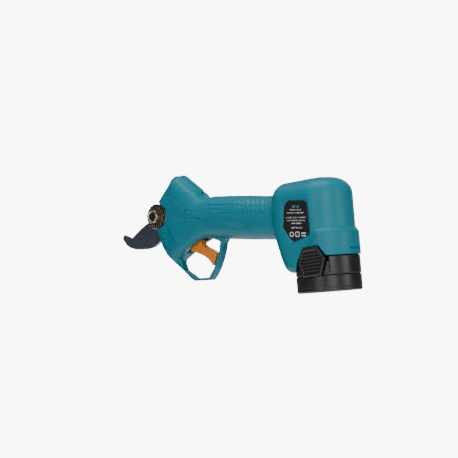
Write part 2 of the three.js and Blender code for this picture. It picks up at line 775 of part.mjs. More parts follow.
// own +Z to the tool's +Y, own +X stays along the drive axis, own +Y to the drive's +Z
const sectorMatrix = new THREE.Matrix4().makeBasis(
  V3(1, 0, 0), V3(0, 0, 1), V3(0, 1, 0),
);
// (this basis mirrors, so the sector is mirrored back in its own plane first)
function mirrorPlace(solid) {
  const g = toGeometry(solid);
  const a = g.attributes.position.array;
  for (let i = 0; i < a.length; i += 9) {
    for (let k = 0; k < 9; k += 3) {
      const y = a[i + k + 1],
        z = a[i + k + 2];
      a[i + k + 1] = z;
      a[i + k + 2] = y;
    }
    for (let k = 0; k < 3; k++)
      [a[i + 3 + k], a[i + 6 + k]] = [a[i + 6 + k], a[i + 3 + k]];
  }
  return toSolid(g);
}
add("blade_gear", mirrorPlace(sector), 0x8a8c90, 0.4, 0.9, drive);
[[8.6, 4.6], [-8.2, 5.2]].forEach(([dx, dz], i) =>
  add(
    "gear_pin_" + (i + 1),
    alongY(rod(1.5, MB.y1 - 1.7, 8.7, 16), PIVOT[0] + dx, PIVOT[1] + dz),
    STEEL, 0.3, 0.9,
  ),
);

// pivot: bolt from the right, bush, toothed lock washer and nut on the left
const hex = (af, y0, y1, x, z, turn = 0) => {
  const p = [];
  for (let i = 0; i < 6; i++) {
    const a = turn + (Math.PI * i) / 3;
    const r = af / Math.sqrt(3);
    p.push([x + r * Math.cos(a), z + r * Math.sin(a)]);
  }
  return plateXZ(p, y0, y1);
};
const [PX, PZ] = PIVOT;
add(
  "pivot_bolt",
  alongY(
    turned([[0, -19.4], [3.4, -19.4], [4, -18.8], [4, 12], [10.4, 12], [10.4, 13.2], [9, 15.6], [0, 15.6]], 32),
    PX, PZ,
  ).subtract(hex(6, 13.2, 17, PX, PZ)),
  0x8d8f94, 0.35, 0.9,
);
add("pivot_bush", alongY(tubeZ(4.3, 5.8, 0.1, 11.6, 28), PX, PZ), 0xb08a4a, 0.4, 0.9);
const washer = [];
for (let i = 0; i < 20; i++) {
  const c = (2 * Math.PI * i) / 20;
  for (const [r, a] of [[9.2, -0.11], [11, -0.07], [11, 0.07], [9.2, 0.11]])
    washer.push([PX + r * Math.cos(c + a), PZ + r * Math.sin(c + a)]);
}
add("lock_washer", plateXZ(washer, -14.2, -12.95, { holes: [hole(4.35)] }), 0x8a8378, 0.35, 0.9);
add(
  "pivot_nut",
  hex(13, -19.9, -14.5, PX, PZ, AXIS_TILT * -1)
    .intersect(alongY(turned([[0, -20], [6.6, -20], [7.6, -19.3], [7.6, -14.4], [0, -14.4]], 32), PX, PZ))
    .subtract(alongY(rod(4.3, -21, -14, 28), PX, PZ)),
  0x7a7670, 0.35, 0.9,
);

// output shaft with the bevel pinion; a gap of the pinion faces the sector
const pinionHalf = Math.PI / PINION_TEETH;
let pinion = turned(
  [
    [0, RS * scaleIn + 0.6],
    [RP * scaleIn - 1.25 * BEVEL_MODULE * scaleIn, RS * scaleIn + 0.6],
    [RP - 1.2 * BEVEL_MODULE, RS + 0.5],
    [5.9, RS + 0.75], [5.9, 23.9], [3.8, 23.9], [3.8, 38.8], [0, 38.8],
  ],
  20,
);
for (let i = 0; i < PINION_TEETH; i++)
  pinion = pinion.add(
    bevelTooth(
      PINION_TEETH, CONE_P, Math.PI / 2 + pinionHalf + (2 * Math.PI * i) / PINION_TEETH, 0.16,
    ),
  );
// own +Z to the drive axis, own +Y stays the tool's +Y
pinion = place(pinion, new THREE.Matrix4().makeRotationY(Math.PI / 2));
add("output_shaft", pinion, 0x8a8c90, 0.4, 0.9, drive);
add("front_bearing", S(tubeZ(4.15, 8, 25.3, 30, 24)), STEEL, 0.3, 0.9, drive);

// planetary stage
const PC = (PLANET_MODULE * (SUN_TEETH + PLANET_TEETH)) / 2;
let carrier = rod(11.2, 36.2, 39.2, 28).subtract(rod(4.15, 30, 45, 20));
for (let i = 0; i < 3; i++) {
  const a = (2 * Math.PI * i) / 3;
  carrier = carrier.add(
    place(
      rod(1.55, 39, 45.6, 12),
      new THREE.Matrix4().makeTranslation(PC * Math.cos(a), PC * Math.sin(a), 0),
    ),
  );
}
const toAxis = new THREE.Matrix4().makeRotationY(Math.PI / 2);
add("planet_carrier", place(carrier, toAxis), STEEL, 0.4, 0.9, drive);
for (let i = 0; i < 3; i++) {
  const a = (2 * Math.PI * i) / 3;
  const gear = prismXY(spurOutline(PLANET_MODULE, PLANET_TEETH, 0.14), 39.8, 44.8)
    .subtract(rod(1.9, 30, 50, 16));
  // a gap faces the sun
  const spin = a + Math.PI + Math.PI / PLANET_TEETH;
  add(
    "planet_gear_" + (i + 1),
    place(
      gear,
      toAxis.clone()
        .multiply(new THREE.Matrix4().makeTranslation(PC * Math.cos(a), PC * Math.sin(a), 0))
        .multiply(new THREE.Matrix4().makeRotationZ(spin)),
    ),
    STEEL, 0.4, 0.9, drive,
  );
}
add(
  "sun_gear",
  place(prismXY(spurOutline(PLANET_MODULE, SUN_TEETH, 0.14), 39.8, 47).subtract(rod(1.9, 30, 60, 16)), toAxis),
  STEEL, 0.4, 0.9, drive,
);
{
  const outer = [];
  for (let i = 0; i < 42; i++) {
    const a = (2 * Math.PI * i) / 42;
    outer.push([(MOTOR_R - 0.1) * Math.cos(a), (MOTOR_R - 0.1) * Math.sin(a)]);
  }
  const g = new THREE.ExtrudeGeometry(
    shapeOf(outer, [ringOutline(PLANET_MODULE, RING_TEETH, 0.14)]),
    { depth: 13.4, bevelEnabled: false },
  );
  g.translate(0, 0, 34.3);
  add("ring_gear", place(toSolid(g), toAxis), STEEL, 0.4, 0.9, drive);
}

// motor
add("motor_front_plate", S(tubeZ(3, MOTOR_R - 0.1, 48, 50.6, 28)), 0xb0b2b6, 0.4, 0.9, drive);
add("motor_can", S(tubeZ(MOTOR_R - 1.1, MOTOR_R, 50.9, 92, 32)), 0x8d8f92, 0.35, 0.9, drive);
add("motor_magnet", S(tubeZ(11.8, MOTOR_R - 1.5, 56, 86, 28)), 0x3b3b3d, 0.6, 0.3, drive);
{
  let rotor = rod(11.3, 57, 85, 25);
  for (let i = 0; i < 5; i++) {
    const a = (2 * Math.PI * i) / 5;
    rotor = rotor.subtract(
      place(
        box(6.5, 13, -0.9, 0.9, 50, 95),
        new THREE.Matrix4().makeRotationZ(a),
      ),
    );
  }
  add("motor_rotor", place(rotor.subtract(rod(1.9, 40, 99, 16)), toAxis), 0x9c5a2e, 0.5, 0.7, drive);
}
add("motor_shaft", S(rod(1.6, 40, 94, 16)), STEEL, 0.25, 0.95, drive);
add(
  "motor_end_bell",
  S(tubeZ(1.95, MOTOR_R, 92.3, 96, 28)).add(S(tubeZ(1.95, 5, 95.5, 98, 20))),
  BLACK, 0.5, 0, drive,
);

// trigger
const TRIGGER = [
  [-161.3, 53.9], [-158.5, 51.1], [-152.6, 49.4], [-147.3, 47.2],
  [-141.6, 44.4], [-137.8, 41], [-135.3, 38], [-133.2, 34.9], [-131.9, 34.6],
  [-126.7, 46.4], [-134.5, 51.4], [-142, 55.3], [-144.6, 58], [-145.4, 61.5],
  [-148.5, 65.6], [-154, 67.4], [-160, 67.2], [-163.6, 64], [-163.6, 58],
];
{
  const MAGNET = [-149.8, 61.2];
  const [x, z] = TRIGGER_PIN;
  let t = plateXZ(TRIGGER, -TRIGGER_HALF_W, TRIGGER_HALF_W, { bevel: 1, segments: 1 });
  t = cut(
    t,
    alongY(rod(1.85, -10, 10, 16), x, z),
    alongY(rod(2.3, 2, 10, 18), MAGNET[0], MAGNET[1]),
  );
  add("trigger", t, 0xff821a, 0.45, 0);
  add("trigger_magnet", alongY(rod(2, 2.3, 4.2, 18), MAGNET[0], MAGNET[1]), 0xb8babd, 0.3, 0.9);
  add("trigger_pin", alongY(rod(1.5, -10.2, 10.2, 16), x, z), STEEL, 0.3, 0.95);
  const coil = [];
  const turns = 3,
    r = 2.7;
  coil.push([x - 7.5, -5.3, z + 4.2]);
  coil.push([x - 3.6, -5.3, z + 3.1]);
  for (let i = 0; i <= turns * 8; i++) {
    const a = (135 - (i / 8) * 360) * deg;
    coil.push([x + r * Math.cos(a), -5.4 - (i / (turns * 8)) * 2.4, z + r * Math.sin(a)]);
  }
  coil.push([x - 1.2, -7.9, z + 5.2]);
  coil.push([x + 1.5, -7.9, z + 8]);
  add("trigger_spring", cable(coil, 0.38, 5, 34), STEEL, 0.3, 0.95);
  add(
    "trigger_board",
    box(-155, -144, 6.4, 7.6, 64.2, 70).add(box(-151.2, -148.4, 5.5, 6.5, 64.6, 67)),
    0x1d5a34, 0.6, 0,
  );
}

// electronics in the top of the pod
add("controller_board", box(-36, 14, -21, 21, 84, 85.6), 0x1d5a34, 0.6, 0);
{
  const fins = [];
  const w = 26,
    n = 6;
  for (let i = 0; i < n; i++) {
    const a = -w / 2 + (i * w) / n;
    fins.push([a, 96], [a + 1.8, 96], [a + 1.8, 88.4], [a + w / n, 88.4]);
  }
  fins.pop();
  const out = [[-w / 2, 85.9], [fins.at(-1)[0], 85.9], ...fins.reverse()];
  const g = new THREE.ExtrudeGeometry(shapeOf(out.map(([a, b]) => [a, b])), {
    depth: 18, bevelEnabled: false,
  });
  g.rotateX(Math.PI / 2);
  g.rotateZ(Math.PI / 2);
  g.translate(-30, 0, 0);
  add("heatsink", toSolid(g), 0xb9bcc0, 0.4, 0.9);
}
add(
  "capacitor",
  alongY(turned([[0, -11], [4.9, -11], [4.9, 11], [0, 11]], 24), -4.5, 91.1),
  0x23262c, 0.4, 0.2,
);
add(
  "terminal_block",
  cut(
    box(-9, 13, -12, 12, 77.9, 83.7),
    ...[-8, -2.7, 2.7, 8].map((y) => box(-6, 10.5, y - 0.7, y + 0.7, 77, 82)),
  ),
  0x1b1b1d, 0.5, 0,
);
const dr = (s, y, t) => {
  const p = V3(s, y, t).applyMatrix4(toDrive.clone().invert());
  return [p.x, p.y, p.z];
};
[-1, 1].forEach((side, i) =>
  add(
    "motor_lead_" + (i + 1),
    cable(
      [dr(96.6, side * 9, 4), dr(100, side * 9, 5), dr(112, side * 7, 7), dr(132, side * 6, 10), dr(148, side * 8, 12.6), [-43, side * 8.5, 86.8], [-38, side * 10, 87], [-35, side * 11, 87]],
      1.2, 6, 12,
    ),
    i ? 0x1b1b1d : 0xb0201c, 0.5, 0,
  ),
);
add(
  "sensor_cable",
  cable(
    [[-143.4, 8.6, 66.9], [-139, 7, 67.1], [-128, 2, 66.3], [-112, 0, 64.7], [-92, 0, 62.7], [-72, 0, 62], [-58, 2, 66], [-48, 8, 76], [-42, 12, 82], [-37.6, 13, 84.2]],
    0.8, 5, 18,
  ),
  0x2b2b2e, 0.5, 0,
);

// housing screws, driven from the right
HOUSING_SCREWS.forEach(([x, z, y], i) =>
  add(
    "housing_screw_" + (i + 1),
    alongY(
      turned([[0, -8.4], [1.4, -8.4], [1.4, y - 2], [2.9, y - 2], [2.9, y - 0.2], [1.2, y - 0.2], [0, y - 1.3]], 12),
      x, z,
    ),
    0x55575b, 0.35, 0.9,
  ),
);
add("rating_label", plateXZ(LABEL, -28.55, -28.2), 0x17181a, 0.4, 0);

// ---------------------------------------------------------------- battery pack
const pocket = inset(LATCH_HEX, -0.5);
const pockets = (s) =>
  cut(s, plateXZ(pocket, -40, -22.4), plateXZ(pocket, 22.4, 40));
let packCase = turned(
  [[0, PACK_SPLIT_Z + 0.15], [PACK_R - 0.6, PACK_SPLIT_Z + 0.15], [PACK_R, PACK_SPLIT_Z + 0.8], [PACK_R, SEAM_Z - 0.7], [PACK_R - 0.6, SEAM_Z - 0.1], [STEM_R, SEAM_Z - 0.1], [STEM_R, STEM_TOP - 1.5], [STEM_R - 1.5, STEM_TOP], [0, STEM_TOP]],
  44,
);
packCase = pockets(packCase);
packCase = cut(
  packCase,
  intersectSquareish(PACK_SPLIT_Z - 1, 72.2),
  box(-7, 11, -10.6, 10.6, 70, 80),
);
// The cavity of the pack: a rounded square around the four cells.
function intersectSquareish(z0, z1) {
  const pts = [];
  const h = CELL_PITCH,
    r = CELL_R + 0.5;
  for (const [sx, sy, a0] of [[1, 1, 0], [-1, 1, 90], [-1, -1, 180], [1, -1, 270]])
    for (let i = 0; i <= 5; i++) {
      const a = (a0 + 18 * i) * deg;
      pts.push([sx * h + r * Math.cos(a), sy * h + r * Math.sin(a)]);
    }
  return prismXY(pts, z0, z1);
}
add("pack_case", packCase, BLACK, 0.55, 0);
let packCap = turned(
  [[0, 0], [PACK_R - 2.2, 0], [PACK_R - 0.9, 0.5], [PACK_R - 0.2, 1.9], [PACK_R, 3], [PACK_R, PACK_SPLIT_Z - 0.8], [PACK_R - 0.6, PACK_SPLIT_Z - 0.15], [0, PACK_SPLIT_Z - 0.15]],
  44,
);
packCap = pockets(packCap).subtract(intersectSquareish(2.6, PACK_SPLIT_Z + 1));
add("pack_cap", packCap, BLACK, 0.55, 0);
for (let i = 0; i < 4; i++) {
  const sx = i % 2 ? 1 : -1,
    sy = i < 2 ? -1 : 1;
  add(
    "cell_" + (i + 1),
    place(
      turned([[0, 3.4], [CELL_R, 3.4], [CELL_R, 3.4 + CELL_L - 1], [4, 3.4 + CELL_L - 1], [4, 3.4 + CELL_L], [0, 3.4 + CELL_L]], 24),
      new THREE.Matrix4().makeTranslation(sx * CELL_PITCH, sy * CELL_PITCH, 0),
    ),
    0x2f6f9e, 0.4, 0.1,
  );
}
add("pack_board", box(-15.5, 15.5, -15.5, 15.5, 69.6, 71.2), 0x1d5a34, 0.6, 0);
add(
  "pack_terminals",
  join(
    box(-6.6, 10.6, -10.2, 10.2, 71.5, 75.4),
    ...[-8, -2.7, 2.7, 8].map((y) => box(-5, 9.5, y - 0.4, y + 0.4, 75, 79.6)),
  ),
  0x6f6a58, 0.4, 0.5,
);
function latch(side) {
  const y0 = side < 0 ? -31.6 : 26.6,
    y1 = side < 0 ? -26.6 : 31.6;
  const outer = side < 0 ? -31.6 : 31.6;
  let s = plateXZ(LATCH_HEX, y0, y1, { bevel: 0.8, segments: 1 });
  // grip ribs in a sunk field
  const field = inset(LATCH_HEX, 2.6);
  s = s.subtract(plateXZ(field, Math.min(outer, outer - side * 1.2), Math.max(outer, outer - side * 1.2) + 0));
  for (let i = 0; i < 7; i++) {
    const z = 19.6 + i * 3;
    s = s.add(
      box(-14, 16, Math.min(outer - side * 1.6, outer - side * 0.3), Math.max(outer - side * 1.6, outer - side * 0.3), z, z + 1.3).intersect(
        plateXZ(inset(LATCH_HEX, 2.2), -40, 40),
      ),
    );
  }
  return s;
}
add("latch_left", latch(-1), 0x1d1c1a, 0.6, 0);
add("latch_right", latch(1), 0x1d1c1a, 0.6, 0);

export default root;
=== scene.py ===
import json
import math

import bmesh
import bpy
import numpy as np
from mathutils import Matrix, Vector


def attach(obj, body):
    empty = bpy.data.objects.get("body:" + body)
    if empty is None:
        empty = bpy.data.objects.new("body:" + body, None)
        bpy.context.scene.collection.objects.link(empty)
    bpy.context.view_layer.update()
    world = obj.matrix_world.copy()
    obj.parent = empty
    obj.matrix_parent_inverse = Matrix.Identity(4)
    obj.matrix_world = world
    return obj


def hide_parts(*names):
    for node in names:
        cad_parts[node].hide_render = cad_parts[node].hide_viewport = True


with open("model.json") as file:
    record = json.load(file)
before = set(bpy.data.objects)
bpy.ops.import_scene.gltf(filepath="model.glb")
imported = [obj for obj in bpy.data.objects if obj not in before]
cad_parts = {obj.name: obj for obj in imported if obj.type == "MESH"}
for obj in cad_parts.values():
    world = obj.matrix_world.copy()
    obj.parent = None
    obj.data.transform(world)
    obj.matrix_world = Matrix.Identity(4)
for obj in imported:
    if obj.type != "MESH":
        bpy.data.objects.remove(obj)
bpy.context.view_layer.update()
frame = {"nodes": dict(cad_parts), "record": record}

N = frame["nodes"]
MM = 0.001
F = np.float32

# ------------------------------------------------------------------ outlines (X, Z in mm)
HEAD_CENTRE = [
    (-138.4, 103.4), (-143.3, 110.8), (-163.5, 128.8), (-166, 130.6),
    (-172.5, 131.2), (-176, 128.6), (-179.2, 124.5), (-188.7, 115.6),
    (-201.7, 102.4), (-201.8, 90), (-200.7, 76.2), (-193.9, 56.3),
    (-187.9, 47.1), (-179.5, 39.6), (-171, 43.8), (-160.3, 49.7),
    (-149.5, 56.6), (-142.6, 60.3), (-132.3, 62.9),
]
HEAD_SIDE = [
    (-138, 96), (-147, 103), (-164, 117), (-167, 118.5), (-170, 119),
    (-172, 117.5), (-174, 114.5), (-181, 106.5), (-194, 93.5), (-195, 88),
    (-194, 80), (-187, 64), (-182, 58), (-176, 56), (-169, 58), (-158, 62),
    (-149, 66), (-141, 69), (-132, 70),
]
GUARD = [
    (-196, 62), (-193.9, 56.3), (-187.9, 47.1), (-179.5, 39.6), (-161.1, 22.9),
    (-157, 20.8), (-137, 20.3), (-132.5, 24.5), (-127.1, 31.9), (-122.9, 39.5),
    (-119.2, 48), (-116.8, 56.1), (-112.5, 61.8), (-112, 68), (-150, 72),
    (-185, 72),
]
FINGER_GAP = [
    (-156.7, 23.7), (-170.1, 33), (-172.6, 39.5), (-172, 43.5), (-169.2, 46.2),
    (-161.2, 52.2), (-150.6, 58.6), (-143.2, 60.9), (-137.4, 62.2),
    (-132.3, 62.9), (-121.2, 58), (-122.3, 52.7), (-123.6, 47.1), (-127.3, 40),
    (-130.9, 33.1), (-138.8, 23.3), (-148.7, 23.5),
]
NOSE_NOTCH = [
    (-215, 107.5), (-193.1, 105.7), (-186.8, 102), (-179.9, 97), (-180.1, 88),
    (-182.1, 81.8), (-186.8, 79.8), (-198.4, 76.9), (-199.2, 75.4), (-215, 75.4),
]
LATCH_HEX = [
    (-7.4, 41.2), (8.8, 42.1), (15.6, 31), (10.6, 15.7), (-8.6, 14.7), (-13, 28),
]
STRIP = [
    (-166.2, 128.2), (-165.4, 131.4), (-162.6, 130.2), (-142.4, 113.6),
    (-140.6, 110.6), (-142.6, 108.6), (-146, 109.6),
]
LABEL = [
    (-24.6, 82), (-20.4, 86.9), (0.4, 85), (0.9, 53.3), (-17.8, 47.8),
    (-27.4, 62.2),
]
FIXED = [
    (-252.6, 77.5), (-254.0, 74.2), (-252.8, 70.4), (-249.5, 66), (-245, 62.6),
    (-237, 60), (-228.5, 58.9), (-219, 58.8), (-211.8, 59.6), (-206, 61.6),
    (-201.5, 64.5), (-198.4, 67), (-190.5, 67), (-182, 69.6), (-177, 71.4),
    (-175.4, 75.4), (-177, 79), (-184.6, 82.6), (-183.9, 91), (-186.5, 98.5),
    (-192, 101.8), (-199, 102), (-205, 97.5), (-207.5, 91), (-208.5, 84.5),
    (-212.5, 76.5), (-217.5, 72.2), (-222.7, 70.2), (-231, 70.0), (-238.5, 72.2),
    (-244.5, 74.2), (-249, 76.2),
]
MOVING = [
    (-247.6, 69.9), (-241.9, 74.5), (-230.8, 81.7), (-218.5, 87.7),
    (-209, 91.5), (-207.2, 96), (-202, 102.2), (-195, 104), (-187, 100.8),
    (-183, 94), (-183.2, 87), (-187, 80.8), (-193, 78.2), (-200, 78),
    (-206, 74), (-213, 66.8), (-221, 62.9), (-230, 61.6), (-239, 63.4),
    (-245, 66.6),
]
POD_R, WALL, SEAM_Z, POD_TOP = 28.5, 2.5, 33.0, 106.4
PIVOT = (-195.5, 91.0)
TILT = 0.1131
HOUSING_SCREWS = [
    (-172.5, 116, 13.6), (-186.5, 62.5, 12.2), (-83, 78.2, 16.4),
    (-35.6, 93, 24), (-32.4, 43, 23.4),
]


# ------------------------------------------------------------------ distance fields
def poly2(points, X, Z):
    """Signed distance to a closed polygon, negative inside."""
    P = np.asarray(points, dtype=F)
    Q = np.roll(P, -1, axis=0)
    best = np.full(np.broadcast(X, Z).shape, 1e9, dtype=F)
    inside = np.zeros(best.shape, dtype=bool)
    for (ax, az), (bx, bz) in zip(P, Q):
        ex, ez = bx - ax, bz - az
        wx, wz = X - ax, Z - az
        t = np.clip((wx * ex + wz * ez) / (ex * ex + ez * ez + 1e-12), 0, 1)
        dx, dz = wx - ex * t, wz - ez * t
        np.minimum(best, dx * dx + dz * dz, out=best)
        cond = (az > Z) != (bz > Z)
        if ez != 0:
            inside ^= cond & (X < ax + (Z - az) * ex / ez)
    d = np.sqrt(best)
    return np.where(inside, -d, d).astype(F)


def line2(points, X, Z):
    """Distance to an open polyline."""
    best = np.full(np.broadcast(X, Z).shape, 1e9, dtype=F)
    for (ax, az), (bx, bz) in zip(points[:-1], points[1:]):
        ex, ez = bx - ax, bz - az
        wx, wz = X - ax, Z - az
        t = np.clip((wx * ex + wz * ez) / (ex * ex + ez * ez + 1e-12), 0, 1)
        dx, dz = wx - ex * t, wz - ez * t
        np.minimum(best, dx * dx + dz * dz, out=best)
    return np.sqrt(best).astype(F)


def smin(a, b, k):
    h = np.clip(0.5 + 0.5 * (b - a) / k, 0, 1)
    return b + (a - b) * h - k * h * (1 - h)


def smax(a, b, k):
    return -smin(-a, -b, k)


def step(v, a, b):
    t = np.clip((v - a) / (b - a), 0, 1)
    return t * t * (3 - 2 * t)


def groove(d, half, depth):
    """A round-bottomed groove of that half width and depth."""
    return (depth * (1 - step(d, half * 0.25, half * 1.45))).astype(F)


def slab(d2, y, half, r):
    """Plate of outline field d2 and half thickness, edges rounded by r."""
    a, b = d2 + r, np.abs(y) - half + r
    return np.minimum(np.maximum(a, b), 0) + np.sqrt(np.maximum(a, 0) ** 2 + np.maximum(b, 0) ** 2) - r


def plate(d2, y, y0, y1, r):
    return slab(d2, y - (y0 + y1) / 2, (y1 - y0) / 2, r)


# ------------------------------------------------------------------ meshing
CORNERS = [(i, j, k) for i in (0, 1) for j in (0, 1) for k in (0, 1)]
EDGES = [(a, b) for a in range(8) for b in range(a + 1, 8)
         if sum(abs(p - q) for p, q in zip(CORNERS[a], CORNERS[b])) == 1]


def nets(d, origin, h):
    """Surface nets: quads on the zero level of the field d."""
    d = np.ascontiguousarray(d, dtype=F)
    neg = d < 0
    nx, ny, nz = d.shape
    cnt = np.zeros((nx - 1, ny - 1, nz - 1), dtype=np.int8)
    for i, j, k in CORNERS:
        cnt += neg[i:nx - 1 + i, j:ny - 1 + j, k:nz - 1 + k]
    act = (cnt > 0) & (cnt < 8)
    I, J, K = np.nonzero(act)
    ids = np.full(act.shape, -1, dtype=np.int32)
    ids[I, J, K] = np.arange(len(I))
    V = np.stack([d[I + a, J + b, K + c] for a, b, c in CORNERS], axis=1)
    S = np.zeros((len(I), 3))
    C = np.zeros(len(I))
    for a, b in EDGES:
        va, vb = V[:, a], V[:, b]
        m = (va < 0) != (vb < 0)
        t = np.where(m, va / np.where(m, va - vb, 1), 0)
        for ax in range(3):
            S[:, ax] += m * (CORNERS[a][ax] + t * (CORNERS[b][ax] - CORNERS[a][ax]))
        C += m
    pos = (np.stack([I, J, K], axis=1) + S / C[:, None])
    pos = project(d, pos)
    quads = []
    for ax in range(3):
        sl = [slice(1, -1)] * 3
        lo = list(sl); hi = list(sl)
        lo[ax] = slice(0, -1); hi[ax] = slice(1, None)
        a, b = neg[tuple(lo)], neg[tuple(hi)]
        E = np.nonzero(a != b)
        base = [E[q] + (0 if q == ax else 1) for q in range(3)]
        flip = a[E]
        u, v = [(1, 2), (2, 0), (0, 1)][ax]
        def cell(du, dv):
            c = [x.copy() for x in base]
            c[u] = c[u] - du; c[v] = c[v] - dv
            return ids[c[0], c[1], c[2]]
        q = np.stack([cell(1, 1), cell(0, 1), cell(0, 0), cell(1, 0)], axis=1)
        q[~flip] = q[~flip][:, ::-1]
        quads.append(q)
    quads = np.concatenate(quads)
    quads = quads[(quads >= 0).all(axis=1)]
    return pos * h + np.asarray(origin), quads


def sample(d, p):
    nx, ny, nz = d.shape
    p = np.clip(p, 0, np.array([nx, ny, nz]) - 1.001)
    i = p.astype(np.int32)
    f = p - i
    out = np.zeros(len(p))
    for a, b, c in CORNERS:
        w = (f[:, 0] if a else 1 - f[:, 0]) * (f[:, 1] if b else 1 - f[:, 1]) * (f[:, 2] if c else 1 - f[:, 2])
        out += w * d[i[:, 0] + a, i[:, 1] + b, i[:, 2] + c]
    return out


def project(d, pos):
    for _ in range(2):
        g = np.zeros_like(pos)
        for ax in range(3):
            e = np.zeros(3); e[ax] = 0.5
            g[:, ax] = sample(d, pos + e) - sample(d, pos - e)
        v = sample(d, pos)
        n2 = np.maximum((g * g).sum(axis=1), 0.02)
        mv = -g * (v / n2)[:, None]
        L = np.sqrt((mv * mv).sum(axis=1))
        mv *= np.minimum(1, 0.4 / np.maximum(L, 1e-9))[:, None]
        pos = pos + mv
    return pos


def grid(x0, x1, y0, y1, z0, z1, h):
    xs = np.arange(x0, x1 + h, h, dtype=F)
    ys = np.arange(y0, y1 + h, h, dtype=F)
    zs = np.arange(z0, z1 + h, h, dtype=F)
    return xs, ys, zs


def obj_from(name, verts, faces, mat, smooth=True):
    me = bpy.data.meshes.new(name)
    verts = np.asarray(verts, dtype=np.float64) * MM
    if isinstance(faces, np.ndarray):
        n, m = len(faces), faces.shape[1]
        me.vertices.add(len(verts))
        me.vertices.foreach_set("co", verts.ravel())
        me.loops.add(n * m)
        me.loops.foreach_set("vertex_index", faces.astype(np.int32).ravel())
        me.polygons.add(n)
        me.polygons.foreach_set("loop_start", np.arange(0, n * m, m, dtype=np.int32))
        me.polygons.foreach_set("loop_total", np.full(n, m, dtype=np.int32))
        me.update(calc_edges=True)
        me.validate()
    else:
        me.from_pydata([tuple(v) for v in verts], [], faces)
        me.update()
    me.polygons.foreach_set("use_smooth", np.full(len(me.polygons), smooth))
    if mat:
        me.materials.append(mat)
    o = bpy.data.objects.new(name, me)
    bpy.context.scene.collection.objects.link(o)
    return o


def decimate(o, faces):
    n = len(o.data.polygons) * 2
    if n > faces:
        m = o.modifiers.new("few", "DECIMATE")
        m.ratio = faces / n
        dg = bpy.context.evaluated_depsgraph_get()
        dg.update()
        me = bpy.data.meshes.new_from_object(o.evaluated_get(dg))
        o.modifiers.clear()
        old = o.data
        o.data = me
        bpy.data.meshes.remove(old)
        me.polygons.foreach_set("use_smooth", np.full(len(me.polygons), True))


def split(o, side, at):
    """Keeps the part beyond the plane Y = at and closes it there."""
    bm = bmesh.new()
    bm.from_mesh(o.data)
    geom = bm.verts[:] + bm.edges[:] + bm.faces[:]
    bmesh.ops.bisect_plane(bm, geom=geom, dist=1e-7, plane_co=(0, at * MM, 0), plane_no=(0, -side, 0), clear_outer=True)
    rim = [e for e in bm.edges if e.is_boundary and all(abs(v.co.y - at * MM) < 2e-6 for v in e.verts)]
    made_ = bmesh.ops.triangle_fill(bm, use_beauty=True, use_dissolve=False, edges=rim, normal=(0, -side, 0))
    flat = [f for f in made_["geom"] if isinstance(f, bmesh.types.BMFace)]
    for f in flat:
        f.smooth = False
        if f.normal.y * side > 0:
            f.normal_flip()
    edges = {e for f in flat for e in f.edges}
    for e in edges:
        if any(f not in flat for f in e.link_faces):
            e.smooth = False
    bm.to_mesh(o.data)
    bm.free()


def field_piece(name, field, lim, h, mat, faces=190000, half=None):
    xs, ys, zs = grid(*lim, h)
    d = field(xs, ys, zs)
    v, q = nets(d, (xs[0], ys[0], zs[0]), h)
    o = obj_from(name, v, q, mat)
    decimate(o, faces)
    if half:
        split(o, *half)
    return o


# ------------------------------------------------------------------ the housing
WAVES = []
for i in range(7):
    x, zt = -87.9 + i * 5.42, 95.0 - i * 0.62
    WAVES.append([(x, zt), (x + 0.5, zt - 1.6), (x + 1.5, zt - 3.2), (x + 0.4, zt - 4.6), (x + 0.6, zt - 6.0), (x + 1.4, zt - 7.2)])
DOTS = [(-82.6 + i * 3.67, 85.4 - i * 0.4) for i in range(8)]
HATCH = [[(-104.5 + i * 3.9, 78.2 - i * 0.75), (-97.2 + i * 3.9, 70.8 - i * 1.2)] for i in range(6)]
GROOVES = [
    [(-113.1, 85.3), (-56, 78.4)],
    [(-127.5, 95), (-98.9, 91.9)],
    [(-140.6, 82.6), (-134, 81.9)],
    [(-131.6, 82.6), (-122.1, 89.7), (-107.8, 88.1)],
    [(-154.6, 99.4), (-154.3, 91.9), (-136.1, 89.9)],
    [(-164.8, 85.4), (-134.6, 82.2)],
]
PANEL = [
    (-120, 116), (-138.3, 112.6), (-144.1, 113.2), (-151.1, 110.6), (-160, 106.1),
    (-169, 101.6), (-175.9, 97.1), (-176.6, 87.7), (-179.2, 77.7), (-168.9, 57.2),
    (-160, 50), (-120, 50),
]
TUNNEL = [(-178.8, 109.2), (-172.2, 111.0), (-166.4, 113.9)]
W_MARK = [(-177.6, 104.9), (-172.6, 107.0), (-170.6, 110.2), (-167.3, 113.0)]
W_MARK2 = [(-179.2, 109.9), (-174.4, 110.8), (-177.6, 104.9)]
LOW_MARK = [(-190.3, 74.6), (-184.0, 71.0), (-184.6, 64.5), (-178.0, 61.0)]
LOW_MARK2 = [(-188.5, 69.6), (-183.4, 62.6)]


def grip_z(x):
    return PIVOT[1] - math.tan(TILT) * (x - PIVOT[0])


